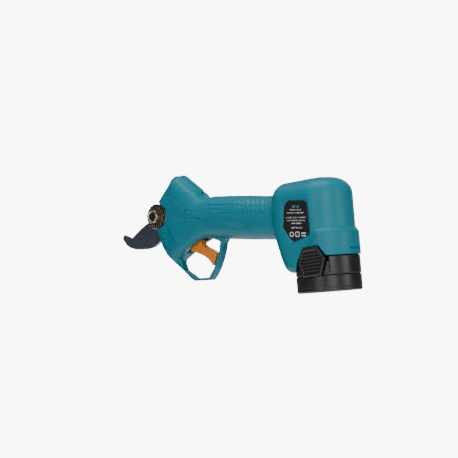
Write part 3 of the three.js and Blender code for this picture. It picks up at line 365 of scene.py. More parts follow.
def housing_field(side):
    def f(xs, ys, zs):
        X2 = xs[:, None]
        Z2 = zs[None, :]
        X = xs[:, None, None]
        Y = ys[None, :, None]
        Z = zs[None, None, :]
        A = np.abs(Y)
        shape = (len(xs), len(ys), len(zs))
        # pod: plan outline, skirt, rounded top
        xf = np.interp(Z, [18, 23.3, 35.4, 53.5, 60, 110], [-33.4, -34.6, -38.9, -43.6, -44.2, -44.2]).astype(F)
        rc = 14.0
        dx = xf + rc - X
        dy = A - (POD_R - rc)
        front = np.minimum(np.maximum(dx, dy), 0) + np.sqrt(np.maximum(dx, 0) ** 2 + np.maximum(dy, 0) ** 2) - rc
        bulge = 3.0 * step(X, -3.0, 12.0) * (1 - step(Z, 53.4, 60.0))
        rear = np.sqrt(X * X + Y * Y) - POD_R - bulge
        plan = np.where(X > 0, rear, front).astype(F)
        ztop = POD_TOP - 0.045 * np.maximum(0, -8 - X)
        rh = 17 + 3 * step(X, -34, -12)
        rv = 15.5 + 0.9 * step(X, -34, -12)
        a, b = (plan + rh) / rh, (Z - ztop + rv) / rv
        pod = (np.minimum(np.maximum(a, b), 0) + np.sqrt(np.maximum(a, 0) ** 2 + np.maximum(b, 0) ** 2) - 1) * rv
        pod = np.where(Z < ztop - rv, plan, pod).astype(F)
        pod = smax(pod, 19.6 - Z, 9.0)
        # grip
        hh = 21.5 + 0.4 * step(X, -118, -105) * (1 - step(X, -80, -62))
        q = ((A / 18.0) ** 2.35 + (np.abs(Z - grip_z(X)) / hh) ** 2.35) ** (1 / 2.35)
        grip = (q - 1) * 18.5 + 1.7 * step(-X, 121, 138)
        grip = np.maximum(grip, np.maximum(-150 - X, X + 38)).astype(F)
        # head, plane by plane
        ix = int(np.searchsorted(xs, -112))
        head = np.full(shape, 60, dtype=F)
        hx, hz = xs[:ix, None], Z2
        half = 17.5
        for j, y in enumerate(ys):
            k = min(1.0, abs(float(y)) / half)
            dome = 1 - math.sqrt(1 - min(0.985, k) ** 2)
            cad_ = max(0.2, (1 - min(k, 0.999) ** 2.35) ** (1 / 2.35))
            pts = [(u + (s - u) * dome, v + (t - v) * dome) for (u, v), (s, t) in zip(HEAD_CENTRE, HEAD_SIDE)]
            ring = [(-116, grip_z(-116) - 21.5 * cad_), (-116, grip_z(-116) + 21.5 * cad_)] + pts
            head[:ix, j, :] = poly2(ring, hx, hz) * (1 - 0.35 * k * k)
        wall_y = (half - (half - 14.5) * step(-X, 160, 210)).astype(F)
        head = smax(head, (A - wall_y), 8.0)
        head = head + 3.2 * step(X, -141, -117)
        main = smin(grip, head, 3.4)
        main = smin(main, pod, 3.2)
        guard = slab(poly2(GUARD, X2, Z2)[:, None, :], Y, 5.4, 2.2)
        strip = slab(poly2(STRIP, X2, Z2)[:, None, :], Y, 2.8, 0.9)
        outer = smin(main, guard, 1.6)
        outer = np.minimum(outer, strip)
        # engraved marks on the sides
        dec = np.zeros((len(xs), len(zs)), dtype=F)
        p = poly2(PANEL, X2, Z2)
        reach = 1 - step(X2, -152, -124)
        dec += (1.15 * (1 - step(p, -0.5, 0.5)) - 0.6) * reach
        dec -= groove(np.abs(p + 0.9), 0.75, 0.8) * (X2 < -137)
        for g in GROOVES:
            dec -= groove(line2(g, X2, Z2), 0.62, 0.7)
        for g in WAVES:
            dl = line2(g, X2, Z2)
            dec += groove(dl, 0.75, 0.6)
            sh = line2([(u - 1.7, v) for u, v in g], X2, Z2)
            dec -= groove(sh, 0.8, 0.7)
        for g in HATCH:
            dec -= groove(line2(g, X2, Z2), 0.6, 0.65)
        for u, v in DOTS:
            dec += groove(np.sqrt((X2 - u) ** 2 + (Z2 - v) ** 2), 0.7, 0.5)
        dec -= groove(np.minimum(line2(W_MARK, X2, Z2), line2(W_MARK2, X2, Z2)), 0.85, 0.95)
        for g in (LOW_MARK, LOW_MARK2):
            dec -= groove(line2(g, X2, Z2), 0.7, 0.6)
        fade = step(A, 5.0, 8.0) * (1 - step(X, -50, -47))
        outer = outer - dec[:, None, :] * fade
        # small parting marks
        seam = 0.3 * (1 - step(A, 0.2, 1.0))
        outer = outer + seam
        # cavity
        gap_early = poly2(FINGER_GAP, X2, Z2)[:, None, :]
        inner = smax(main + WALL, WALL - gap_early, 1.0)
        shell = smax(outer, -inner, 0.4)
        # bosses
        for bx, bz, by in HOUSING_SCREWS:
            c = np.sqrt((X2 - bx) ** 2 + (Z2 - bz) ** 2).astype(F)
            boss = np.maximum((c - 3.5)[:, None, :], main + 0.6)
            shell = np.minimum(shell, boss)
            shell = np.maximum(shell, -np.maximum(np.maximum((c - 1.75)[:, None, :], Y - by - 0.2), -9 - Y))
            if side > 0:
                hole = plate((c - 3.3)[:, None, :], Y, by - 2.3, by + 12, 0.2)
                shell = np.maximum(shell, -hole)
        c = np.sqrt((X2 + 158) ** 2 + (Z2 - 62) ** 2).astype(F)
        boss = plate((c - 3.4)[:, None, :], A, 5.6 if side > 0 else 8.5, 15, 0.2)
        shell = np.minimum(shell, np.maximum(boss, main + 0.5))
        shell = np.maximum(shell, -plate((c - 1.85)[:, None, :], A, -1, 10.6, 0.1))
        # finger gap, with rounded edges
        gap = poly2(FINGER_GAP, X2, Z2)[:, None, :]
        shell = smax(shell, -gap + np.zeros_like(shell), 2.4)
        # openings
        R = np.sqrt(X * X + Y * Y)
        shell = np.maximum(shell, -np.maximum(R - 30.9, Z - SEAM_Z - 0.2))
        shell = np.maximum(shell, -np.maximum(R - 26.0, Z - 60))
        chin = poly2([(-23.5, 10), (-14.2, 32), (-13.6, 33), (60, 33), (60, 10)], X2, Z2)[:, None, :]
        shell = smax(shell, -chin + np.zeros_like(shell), 0.7)
        notch = poly2(NOSE_NOTCH, X2, Z2)[:, None, :]
        shell = smax(shell, -np.maximum(notch, 4 - A), 1.0)

        def boxf(x0, x1, y0, y1, z0, z1):
            bx = np.maximum(x0 - X, X - x1)
            by = np.maximum(y0 - Y, Y - y1)
            bz = np.maximum(z0 - Z, Z - z1)
            return np.maximum(np.maximum(bx, by), bz)

        shell = np.maximum(shell, -boxf(-215, -184, -8.6, 8.6, 59.5, 106.6))
        shell = np.maximum(shell, -boxf(-215, -176, -9.6, 12.2, 70, 104.5))
        slot = poly2([(-164.4, 40), (-164.4, 68), (-150, 70.5), (-137, 68), (-135.5, 40)], X2, Z2)[:, None, :]
        shell = smax(shell, -np.maximum(slot, A - 5.2), 0.6)
        shell = np.maximum(shell, -boxf(-21.9, 5.9, -11.3, 11.3, POD_TOP - 2.0, POD_TOP + 5))
        shell = np.maximum(shell, -boxf(-18.6, 3.6, -8.6, 8.6, POD_TOP - 12, POD_TOP + 5))
        win = poly2(LATCH_HEX, X2, Z2)[:, None, :] - 0.6
        shell = smax(shell, -np.maximum(win, 23.4 - A), 0.8)
        if side < 0:
            lab = poly2(LABEL, X2, Z2)[:, None, :] - 0.4
            shell = np.maximum(shell, -np.maximum(lab, 27.85 + Y))
        # small notch on the rear edge above the pack
        shell = smax(shell, -boxf(29.6, 40, -8.5, 8.5, 37.7, 39.3), 0.3)
        return shell.astype(F)

    return f


# ------------------------------------------------------------------ pack, latches, trigger
def pack_parts(xs, ys, zs):
    X = xs[:, None, None]
    Y = ys[None, :, None]
    Z = zs[None, None, :]
    R = np.sqrt(X * X + Y * Y)
    return X, Y, Z, R


def pack_cap_field(xs, ys, zs):
    X, Y, Z, R = pack_parts(xs, ys, zs)
    a, b = R - 30.5 + 2.2, 0.0 - Z + 2.2
    d = np.minimum(np.maximum(a, b), 0) + np.sqrt(np.maximum(a, 0) ** 2 + np.maximum(b, 0) ** 2) - 2.2
    a, b = d + 0.7, Z - 15.35 + 0.7
    d = np.minimum(np.maximum(a, b), 0) + np.sqrt(np.maximum(a, 0) ** 2 + np.maximum(b, 0) ** 2) - 0.7
    # a shallow step round the foot, a ring and four screw recesses underneath
    d = d + groove(np.abs(Z - 4.0), 0.4, 0.25) * (R > 26)
    d = d + groove(np.abs(R - 23.5) + 6 * np.maximum(Z - 2, 0), 0.8, 0.6)
    for u, v in ((17, 17), (-17, 17), (17, -17), (-17, -17)):
        c = np.sqrt((X - u) ** 2 + (Y - v) ** 2)
        d = smax(d, -np.maximum(c - 2.6, Z - 2.2), 0.4)
    lip = np.maximum(np.maximum(R - 29.3, Z - 17.0), 14.0 - Z)
    d = np.minimum(d, lip)
    inner = np.maximum(R - 28.0, 2.6 - Z)
    d = np.maximum(d, -inner)
    for s in (-1, 1):
        win = poly2(LATCH_HEX, xs[:, None], zs[None, :])[:, None, :] - 0.5
        d = np.maximum(d, -np.maximum(win, 24.3 - s * Y))
    return d.astype(F)


def pack_case_field(xs, ys, zs):
    X, Y, Z, R = pack_parts(xs, ys, zs)
    a, b = R - 30.5 + 0.7, np.abs(Z - 24.2) - 8.55 + 0.7
    body = np.minimum(np.maximum(a, b), 0) + np.sqrt(np.maximum(a, 0) ** 2 + np.maximum(b, 0) ** 2) - 0.7
    inner = np.maximum(R - 28.0, Z - 31)
    body = np.maximum(body, -inner)
    body = np.maximum(body, -np.maximum(R - 29.6, Z - 17.3))
    # stem that plugs into the pod, hollow inside
    a, b = R - 24.6 + 1.6, np.abs(Z - 53.0) - 21.6 + 1.6
    stem = np.minimum(np.maximum(a, b), 0) + np.sqrt(np.maximum(a, 0) ** 2 + np.maximum(b, 0) ** 2) - 1.6
    stem = np.maximum(stem, -np.maximum(R - 22.4, Z - 72.2))
    d = smin(body, stem, 0.6)
    # dark slits beside each latch
    for s in (-1, 1):
        slit = np.maximum(np.maximum(np.abs(X - 16.4) - 0.8, 25.0 - s * Y), np.abs(Z - 25.4) - 7.4)
        d = np.maximum(d, -slit)
        win = poly2(LATCH_HEX, xs[:, None], zs[None, :])[:, None, :] - 0.5
        d = np.maximum(d, -np.maximum(win, 24.3 - s * Y))
    return d.astype(F)


def latch_field(s):
    def f(xs, ys, zs):
        X2, Z2 = xs[:, None], zs[None, :]
        Y = ys[None, :, None]
        p = poly2(LATCH_HEX, X2, Z2)
        body = plate(p[:, None, :], Y * s, 26.6, 31.6, 1.1)
        field = p + 2.7
        sunk = plate(field[:, None, :], Y * s, 29.3, 36, 0.4)
        d = smax(body, -sunk, 0.5)
        Zs = zs[None, :]
        tilt = Zs - 0.06 * X2
        rib = np.abs(((tilt - 19.0) % 3.0) - 1.5) - 0.72
        ribs = np.maximum(np.maximum(rib, field - 0.2), np.abs(Zs - 28.6) - 10.4)
        ribs = plate(ribs[:, None, :].astype(F), Y * s, 28.6, 31.2, 0.35)
        return np.minimum(d, ribs).astype(F)
    return f


TRIGGER = [
    (-161.3, 53.9), (-158.5, 51.1), (-152.6, 49.4), (-147.3, 47.2),
    (-141.6, 44.4), (-137.8, 41), (-135.3, 38), (-133.2, 34.9), (-131.9, 34.6),
    (-126.7, 46.4), (-134.5, 51.4), (-142, 55.3), (-144.6, 58), (-145.4, 61.5),
    (-148.5, 65.6), (-154, 67.4), (-160, 67.2), (-163.6, 64), (-163.6, 58),
]


def trigger_field(xs, ys, zs):
    X2, Z2 = xs[:, None], zs[None, :]
    Y = ys[None, :, None]
    p = poly2(TRIGGER, X2, Z2)
    d = slab(p[:, None, :], Y, 4.5, 1.5)
    # soft hollow in each side face
    core = slab((p + 3.4)[:, None, :], np.abs(Y) - 6.0, 1.9, 0.5)
    d = smax(d, -core, 0.5)
    c = np.sqrt((X2 + 158) ** 2 + (Z2 - 62) ** 2).astype(F)
    d = np.maximum(d, -(c - 1.85)[:, None, :] + 0 * Y)
    m = np.sqrt((X2 + 149.8) ** 2 + (Z2 - 61.2) ** 2).astype(F)
    d = np.maximum(d, -np.maximum((m - 2.3)[:, None, :], 2.0 - Y))
    return d.astype(F)


def blade_field(kind):
    def f(xs, ys, zs):
        X2, Z2 = xs[:, None], zs[None, :]
        Y = ys[None, :, None]
        c = np.sqrt((X2 - PIVOT[0]) ** 2 + (Z2 - PIVOT[1]) ** 2).astype(F)
        if kind == "fixed":
            p = np.maximum(poly2(FIXED, X2, Z2), 4.35 - c)
            y0, y1 = -3.6, -0.2
            d = plate(p[:, None, :], Y, y0, y1, 0.25)
            # ground bevel along the hook's inner edge, deepest at the edge
            edge = line2([(-253.4, 77.8), (-249, 76.2), (-244.5, 74.2), (-238.5, 72.2), (-231, 70.0), (-222.7, 70.2), (-217.5, 72.2), (-212.5, 76.5), (-209.6, 82)], X2, Z2)
            wide = np.interp(X2, [-254, -248, -236, -222, -212, -208], [4.0, 6.2, 7.4, 7.0, 3.4, 1.0]).astype(F)
            depth = 2.0 * np.clip(1 - edge / wide, 0, 1)
            d = np.maximum(d, (y0 + depth[:, None, :] - Y) * 0.8)
            # the back of the hook is drawn down to a soft edge
            back = line2([(-252.8, 70.4), (-249.5, 66), (-245, 62.6), (-237, 60), (-228.5, 58.9), (-219, 58.8)], X2, Z2)
            depth = 0.9 * np.clip(1 - back / 2.6, 0, 1) ** 2
            d = np.maximum(d, (y0 + depth[:, None, :] - Y) * 0.9)
            for sx, sz in SPOTS:
                r = np.sqrt((X2 - sx) ** 2 + (Z2 - sz) ** 2).astype(F)
                cone = np.clip((Y - (y1 - 2)) / 2, 0, 1) * 2.0 + 2.2
                d = np.maximum(d, -(r[:, None, :] - cone))
        else:
            p = np.maximum(poly2(MOVING, X2, Z2), 6.1 - c)
            y0, y1 = 0.2, 3.6
            d = plate(p[:, None, :], Y, y0, y1, 0.25)
            edge = line2([(-247.6, 69.9), (-245, 66.6), (-239, 63.4), (-230, 61.6), (-221, 62.9), (-213, 66.8), (-206, 74)], X2, Z2)
            wide = np.interp(X2, [-248, -240, -230, -218, -208], [3.0, 6.5, 8.0, 7.0, 2.0]).astype(F)
            depth = 2.3 * np.clip(1 - edge / wide, 0, 1)
            d = np.maximum(d, (Y - (y1 - depth[:, None, :])) * 0.8)
            spine = line2([(-247.6, 69.9), (-241.9, 74.5), (-230.8, 81.7), (-218.5, 87.7), (-209, 91.5)], X2, Z2)
            depth = 0.8 * np.clip(1 - spine / 1.4, 0, 1)
            d = np.maximum(d, (y0 + depth[:, None, :] - Y) * 0.9)
            for ox, oz in ((8.6, 4.6), (-8.2, 5.2)):
                r = np.sqrt((X2 - PIVOT[0] - ox) ** 2 + (Z2 - PIVOT[1] - oz) ** 2).astype(F)
                d = np.maximum(d, -np.maximum((r - 1.8)[:, None, :], y1 - 2 - Y))
        return d.astype(F)
    return f


def from_drive(s, t):
    """Drive frame (back along the axis, up) to X, Z."""
    return (PIVOT[0] + s * math.cos(TILT) + t * math.sin(TILT),
            PIVOT[1] - s * math.sin(TILT) + t * math.cos(TILT))


SPOTS = [from_drive(16.6, -13.6), from_drive(9, -17.4)]


# ------------------------------------------------------------------ materials
def nodes_of(mat):
    mat.use_nodes = True
    nt = mat.node_tree
    nt.nodes.clear()
    out = nt.nodes.new("ShaderNodeOutputMaterial")
    bs = nt.nodes.new("ShaderNodeBsdfPrincipled")
    nt.links.new(bs.outputs[0], out.inputs[0])
    return nt, bs


def lin(c):
    return tuple(((v / 255) / 12.92 if v <= 10 else (((v / 255) + 0.055) / 1.055) ** 2.4) for v in c) + (1,)


def noise(nt, scale, detail=4, rough=0.55, coord=None, kind="ShaderNodeTexNoise"):
    tc = nt.nodes.new("ShaderNodeTexCoord")
    n = nt.nodes.new(kind)
    n.inputs["Scale"].default_value = scale
    if "Detail" in n.inputs:
        n.inputs["Detail"].default_value = detail
    if "Roughness" in n.inputs:
        n.inputs["Roughness"].default_value = rough
    if coord:
        mp = nt.nodes.new("ShaderNodeMapping")
        mp.inputs["Scale"].default_value = coord
        nt.links.new(tc.outputs["Object"], mp.inputs[0])
        nt.links.new(mp.outputs[0], n.inputs["Vector"])
    else:
        nt.links.new(tc.outputs["Object"], n.inputs["Vector"])
    return n


def ramp(nt, src, stops):
    r = nt.nodes.new("ShaderNodeValToRGB")
    nt.links.new(src, r.inputs[0])
    while len(r.color_ramp.elements) < len(stops):
        r.color_ramp.elements.new(0.5)
    for e, (p, c) in zip(r.color_ramp.elements, stops):
        e.position = p
        e.color = c if len(c) == 4 else tuple(c) + (1,)
    return r


def value_ramp(nt, src, a, b, lo=0.3, hi=0.7):
    m = nt.nodes.new("ShaderNodeMapRange")
    m.inputs["From Min"].default_value = lo
    m.inputs["From Max"].default_value = hi
    m.inputs["To Min"].default_value = a
    m.inputs["To Max"].default_value = b
    nt.links.new(src, m.inputs["Value"])
    return m.outputs[0]


def bump(nt, bs, src, strength, distance):
    b = nt.nodes.new("ShaderNodeBump")
    b.inputs["Strength"].default_value = strength
    b.inputs["Distance"].default_value = distance
    nt.links.new(src, b.inputs["Height"])
    prev = bs.inputs["Normal"].links
    if prev:
        nt.links.new(prev[0].from_socket, b.inputs["Normal"])
    nt.links.new(b.outputs[0], bs.inputs["Normal"])
    return b


def plastic(name, rgb, rough, grain=2600, depth=0.00003, vary=0.08, spec=0.5, coat=0.0, dust=0.0):
    m = bpy.data.materials.new(name)
    nt, bs = nodes_of(m)
    c = lin(rgb)
    n = noise(nt, 38, 5)
    dark = tuple(max(0, v * (1 - vary)) for v in c[:3]) + (1,)
    light = tuple(min(1, v * (1 + vary)) for v in c[:3]) + (1,)
    r = ramp(nt, n.outputs[0], [(0.3, dark), (0.7, light)])
    nt.links.new(r.outputs[0], bs.inputs["Base Color"])
    n2 = noise(nt, 90, 6)
    nt.links.new(value_ramp(nt, n2.outputs[0], rough - 0.05, rough + 0.06), bs.inputs["Roughness"])
    n3 = noise(nt, grain, 3, 0.6)
    bump(nt, bs, n3.outputs[0], 0.35, depth)
    bs.inputs["Specular IOR Level"].default_value = spec
    bs.inputs["Coat Weight"].default_value = coat
    bs.inputs["Coat Roughness"].default_value = 0.25
    return m


def metal(name, rgb, rough, brush=None, vary=0.12, depth=0.00002, aniso=0.0, metallic=1.0, painted_edge_highlight=None):
    m = bpy.data.materials.new(name)
    nt, bs = nodes_of(m)
    c = lin(rgb)
    bs.inputs["Metallic"].default_value = metallic
    n = noise(nt, 60, 6, 0.6)
    dark = tuple(max(0, v * (1 - vary)) for v in c[:3]) + (1,)
    light = tuple(min(1, v * (1 + vary)) for v in c[:3]) + (1,)
    r = ramp(nt, n.outputs[0], [(0.32, dark), (0.68, light)])
    nt.links.new(r.outputs[0], bs.inputs["Base Color"])
    n2 = noise(nt, 500, 4, 0.6, coord=brush)
    nt.links.new(value_ramp(nt, n2.outputs[0], rough - 0.07, rough + 0.09), bs.inputs["Roughness"])
    bump(nt, bs, n2.outputs[0], 0.3, depth)
    bs.inputs["Anisotropic"].default_value = aniso
    # convex edges, found by pointiness, are mixed toward a pale colour: a painted highlight along the edges
    if painted_edge_highlight:
        geo = nt.nodes.new("ShaderNodeNewGeometry")
        edge_highlight_mask = value_ramp(nt, geo.outputs["Pointiness"], 0.0, 1.0, painted_edge_highlight[0], painted_edge_highlight[1])
        mix = nt.nodes.new("ShaderNodeMix")
        mix.data_type = "RGBA"
        nt.links.new(edge_highlight_mask, mix.inputs[0])
        nt.links.new(r.outputs[0], mix.inputs[6])
        mix.inputs[7].default_value = lin(painted_edge_highlight[2])
        nt.links.new(mix.outputs[2], bs.inputs["Base Color"])
    return m


M = {
    "teal": plastic("teal_satin", (0, 127, 147), 0.42, grain=2400, depth=0.00004, vary=0.035, spec=0.27),
    "teal_in": plastic("teal_inside", (20, 100, 116), 0.55, vary=0.05),
    "black": plastic("black_satin", (15, 14, 13), 0.36, grain=2400, depth=0.00004, vary=0.12),
    "latch": plastic("black_matt", (10, 9, 9), 0.42, grain=2600, depth=0.00004, vary=0.12),
    "orange": plastic("orange_satin", (255, 142, 22), 0.4, grain=2400, depth=0.00003, vary=0.04),
    "lens": plastic("smoked_lens", (10, 12, 14), 0.12, grain=300, depth=0.000004, vary=0.3, coat=0.6),
    # the pale edge colours given for the blade, nut, washer and cast case are painted highlights on their convex edges
    "blade": metal("coated_blade", (92, 96, 108), 0.3, brush=(1, 1, 8), depth=0.00003, metallic=0.75, painted_edge_highlight=(0.52, 0.6, (150, 154, 166))),
    "steel": metal("bright_steel", (176, 178, 182), 0.28, brush=(1, 12, 1)),
    "nut": metal("oiled_steel", (176, 166, 152), 0.34, brush=(6, 1, 6), vary=0.35, painted_edge_highlight=(0.52, 0.6, (240, 220, 196))),
    "washer": metal("warm_washer", (92, 82, 72), 0.36, vary=0.45, painted_edge_highlight=(0.52, 0.6, (226, 200, 172))),
    "bolt": metal("dark_bolt", (58, 54, 50), 0.42, vary=0.3),
    "case": metal("cast_alloy", (66, 66, 66), 0.42, vary=0.14, depth=0.00006, painted_edge_highlight=(0.52, 0.58, (190, 190, 192))),
    "zinc": metal("zinc_steel", (160, 162, 160), 0.34, vary=0.12),
    "can": metal("motor_can", (126, 130, 134), 0.3, brush=(14, 1, 1)),
    "bronze": metal("bronze", (176, 132, 76), 0.36, vary=0.16),
    "magnet": metal("nickel_magnet", (172, 170, 164), 0.22, vary=0.06),
    "copper": metal("copper", (190, 110, 70), 0.3, vary=0.2),
    "contact": metal("plated_contact", (200, 168, 96), 0.25, vary=0.1),
    "alu": metal("drawn_alloy", (178, 180, 184), 0.35, brush=(1, 14, 1)),
    "red": plastic("red_insulation", (176, 24, 20), 0.42, vary=0.1),
    "wire": plastic("black_insulation", (24, 24, 24), 0.42, vary=0.2),
    "sleeve": plastic("sleeve", (34, 44, 84), 0.34, vary=0.1),
    "white": plastic("white_housing", (214, 212, 204), 0.45, vary=0.05),
}


def board_mat():
    m = bpy.data.materials.new("laminate")
    nt, bs = nodes_of(m)
    v = noise(nt, 420, kind="ShaderNodeTexVoronoi")
    r = ramp(nt, v.outputs["Distance"], [(0.05, lin((24, 92, 44))), (0.12, lin((14, 62, 30))), (0.9, lin((11, 50, 25)))])
    nt.links.new(r.outputs[0], bs.inputs["Base Color"])
    n = noise(nt, 240, 5)
    nt.links.new(value_ramp(nt, n.outputs[0], 0.28, 0.46), bs.inputs["Roughness"])
    bump(nt, bs, v.outputs["Distance"], 0.3, 0.00006)
    return m


def cell_mat():
    """Shrink wrap in a mottled green, the top end bare steel."""
    m = bpy.data.materials.new("cell_wrap")
    nt, bs = nodes_of(m)
    tc = nt.nodes.new("ShaderNodeTexCoord")
    sp = nt.nodes.new("ShaderNodeSeparateXYZ")
    nt.links.new(tc.outputs["Object"], sp.inputs[0])
    n = noise(nt, 60, 5)
    body = ramp(nt, n.outputs[0], [(0.3, lin((30, 96, 70))), (0.7, lin((38, 112, 82)))])
    w = nt.nodes.new("ShaderNodeMapRange")
    w.inputs["From Min"].default_value = 0.0655
    w.inputs["From Max"].default_value = 0.0658
    nt.links.new(sp.outputs[2], w.inputs["Value"])
    mix = nt.nodes.new("ShaderNodeMix")
    mix.data_type = "RGBA"
    nt.links.new(w.outputs[0], mix.inputs[0])
    nt.links.new(body.outputs[0], mix.inputs[6])
    mix.inputs[7].default_value = lin((196, 196, 190))
    nt.links.new(mix.outputs[2], bs.inputs["Base Color"])
    nt.links.new(value_ramp(nt, n.outputs[0], 0.24, 0.4), bs.inputs["Roughness"])
    bump(nt, bs, n.outputs[0], 0.2, 0.00005)
    return m


M["board"] = board_mat()
M["cell"] = cell_mat()


# ------------------------------------------------------------------ pieces
H = 0.5
BODY = {}
for b, members in frame["record"]["behaviour"]["bodies"].items():
    for n in members:
        BODY[n] = b


def stands_for(o, slot, *nodes):
    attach(o, BODY[nodes[0]])
    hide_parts(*nodes)
    return o


made = {}
o = field_piece("housing_left_shell", housing_field(-1), (-206, 36, -33.5, 1.7, 16, 134), H, M["teal"], half=(-1, -0.05))
stands_for(o, "teal_plastic", "housing_left")
o = field_piece("housing_right_shell", housing_field(1), (-206, 36, -1.7, 33.5, 16, 134), H, M["teal"], half=(1, 0.05))
stands_for(o, "teal_plastic", "housing_right")
o = field_piece("pack_cap_shell", pack_cap_field, (-32, 32, -32, 32, -1.2, 18), H * 0.9, M["black"], 90000)
stands_for(o, "black_plastic", "pack_cap")
o = field_piece("pack_case_shell", pack_case_field, (-32, 32, -32, 32, 14, 76), H * 1.1, M["black"], 120000)
stands_for(o, "black_plastic", "pack_case")
for s, n in ((-1, "latch_left"), (1, "latch_right")):
    y = (-33, -25.6) if s < 0 else (25.6, 33)
    o = field_piece(n + "_key", latch_field(s), (-15, 18, *y, 12.6, 44), min(H, 0.8) * 0.7, M["latch"], 60000)
    stands_for(o, "black_plastic", n)
o = field_piece("trigger_lever_piece", trigger_field, (-165, -124, -5.6, 5.6, 33, 69), min(H, 0.8) * 0.8, M["orange"], 60000)
stands_for(o, "orange_plastic", "trigger")
for kind, n, y in (("fixed", "fixed_blade", (-4.4, 0.6)), ("moving", "moving_blade", (-0.6, 4.4))):
    o = field_piece(n + "_ground", blade_field(kind), (-256, -173, *y, 57, 106), min(H, 0.8) * 0.7, M["blade"], 110000)
    stands_for(o, "blade_steel", n)


# ------------------------------------------------------------------ pivot stack
def hex2(X2, Z2, af, turn):
    d = np.full(np.broadcast(X2, Z2).shape, -1e9, dtype=F)
    for i in range(6):
        a = turn + math.pi / 6 + i * math.pi / 3
        d = np.maximum(d, (X2 - PIVOT[0]) * math.cos(a) + (Z2 - PIVOT[1]) * math.sin(a) - af / 2)
    return d


def nut_field(xs, ys, zs):
    X2, Z2 = xs[:, None], zs[None, :]
    Y = ys[None, :, None]
    c = np.sqrt((X2 - PIVOT[0]) ** 2 + (Z2 - PIVOT[1]) ** 2).astype(F)
    h = hex2(X2, Z2, 13.0, -TILT)
    d = smax(h[:, None, :] + 0 * Y, np.abs(Y + 17.2) - 2.7, 0.35)
    cone = (c[:, None, :] - 6.5 - (Y + 19.9) * 1.3) * 0.6
    d = smax(d, cone, 0.3)
    # bore with a countersink
    bore = c[:, None, :] - 4.3 - np.maximum(0, -19.2 - Y) * 0.9
    d = np.maximum(d, -bore)
    return d.astype(F)


def washer_field(xs, ys, zs):
    X2, Z2 = xs[:, None], zs[None, :]
    Y = ys[None, :, None]
    dx, dz = X2 - PIVOT[0], Z2 - PIVOT[1]
    c = np.sqrt(dx ** 2 + dz ** 2).astype(F)
    ang = np.arctan2(dz, dx)
    w = np.cos(ang * 20)
    rim = c - 10.15 - 0.85 * np.clip(w * 1.6, -1, 1)
    top = -14.2 + 0.28 * step(-w, -0.2, 0.6) * step(c, 7.0, 9.4)
    d = smax(rim[:, None, :] * 0.75 + 0 * Y, np.maximum((top[:, None, :] - Y) * 0.9, Y + 12.95), 0.15)
    d = np.maximum(d, 4.35 - c[:, None, :])
    return d.astype(F)


def bolt_field(xs, ys, zs):
    X2, Z2 = xs[:, None], zs[None, :]
    Y = ys[None, :, None]
    dx, dz = X2 - PIVOT[0], Z2 - PIVOT[1]
    c = np.sqrt(dx ** 2 + dz ** 2).astype(F)
    ang = np.arctan2(dz, dx)
    wave = np.abs((((Y / 1.25) + ang[:, None, :] / (2 * math.pi)) % 1.0) - 0.5) * 2
    thread = 0.5 * wave * (Y < -13.4)
    shank = smax(c[:, None, :] - 4.0 + thread, np.maximum(-19.4 - Y, Y - 14.0), 0.5)
    head = smax(smax(c[:, None, :] - 10.4, np.maximum(12 - Y, Y - 15.6), 0.3), (c[:, None, :] + Y * 0.75 - 20.5) * 0.8, 0.4)
    d = np.minimum(shank, head)
    h = hex2(X2, Z2, 6.0, 0.3)
    d = smax(d, -np.maximum(h[:, None, :], 13.2 - Y), 0.15)
    dimple = c[:, None, :] - 1.2 + (Y + 19.4) * 0.8
    d = smax(d, -np.maximum(dimple, Y + 18), 0.2)
    return d.astype(F)


PX0, PZ0 = PIVOT
fine = 0.22
o = field_piece("pivot_nut_hex", nut_field, (PX0 - 9, PX0 + 9, -21, -13.6, PZ0 - 9, PZ0 + 9), fine, M["nut"], 50000)
stands_for(o, "dark_steel", "pivot_nut")
o = field_piece("lock_washer_toothed", washer_field, (PX0 - 12, PX0 + 12, -15, -12.2, PZ0 - 12, PZ0 + 12), fine, M["washer"], 60000)
stands_for(o, "dark_steel", "lock_washer")
o = field_piece("pivot_bolt_turned", bolt_field, (PX0 - 11.5, PX0 + 11.5, -20.4, 16.6, PZ0 - 11.5, PZ0 + 11.5), fine * 1.5, M["bolt"], 70000)
stands_for(o, "dark_steel", "pivot_bolt")


# ------------------------------------------------------------------ label
def inset(points, d):
    P = [Vector(p) for p in points]
    area = sum(a.x * b.y - b.x * a.y for a, b in zip(P, P[1:] + P[:1]))
    s = 1 if area > 0 else -1
    out = []
    n = len(P)
    for i in range(n):
        a, b, c = P[i - 1], P[i], P[(i + 1) % n]
        e1, e2 = (b - a).normalized(), (c - b).normalized()
        n1, n2 = Vector((-e1.y, e1.x)) * s, Vector((-e2.y, e2.x)) * s
        k = d / max(0.2, 1 + n1.dot(n2))
        out.append(tuple(b + (n1 + n2) * k))
    return out


def label_field(xs, ys, zs):
    X2, Z2 = xs[:, None], zs[None, :]
    Y = ys[None, :, None]
    p = poly2(inset(LABEL, 4.6), X2, Z2) - 4.5
    return plate(p[:, None, :], Y, -28.75, -28.0, 0.12).astype(F)


def label_mat():
    m = bpy.data.materials.new("label_film")
    nt, bs = nodes_of(m)
    n = noise(nt, 120, 5)
    r = ramp(nt, n.outputs[0], [(0.3, lin((13, 13, 14))), (0.7, lin((18, 18, 19)))])
    nt.links.new(r.outputs[0], bs.inputs["Base Color"])
    nt.links.new(value_ramp(nt, n.outputs[0], 0.42, 0.54), bs.inputs["Roughness"])
    bs.inputs["Specular IOR Level"].default_value = 0.3
    n2 = noise(nt, 1800, 3)
    bump(nt, bs, n2.outputs[0], 0.2, 0.00002)
    return m


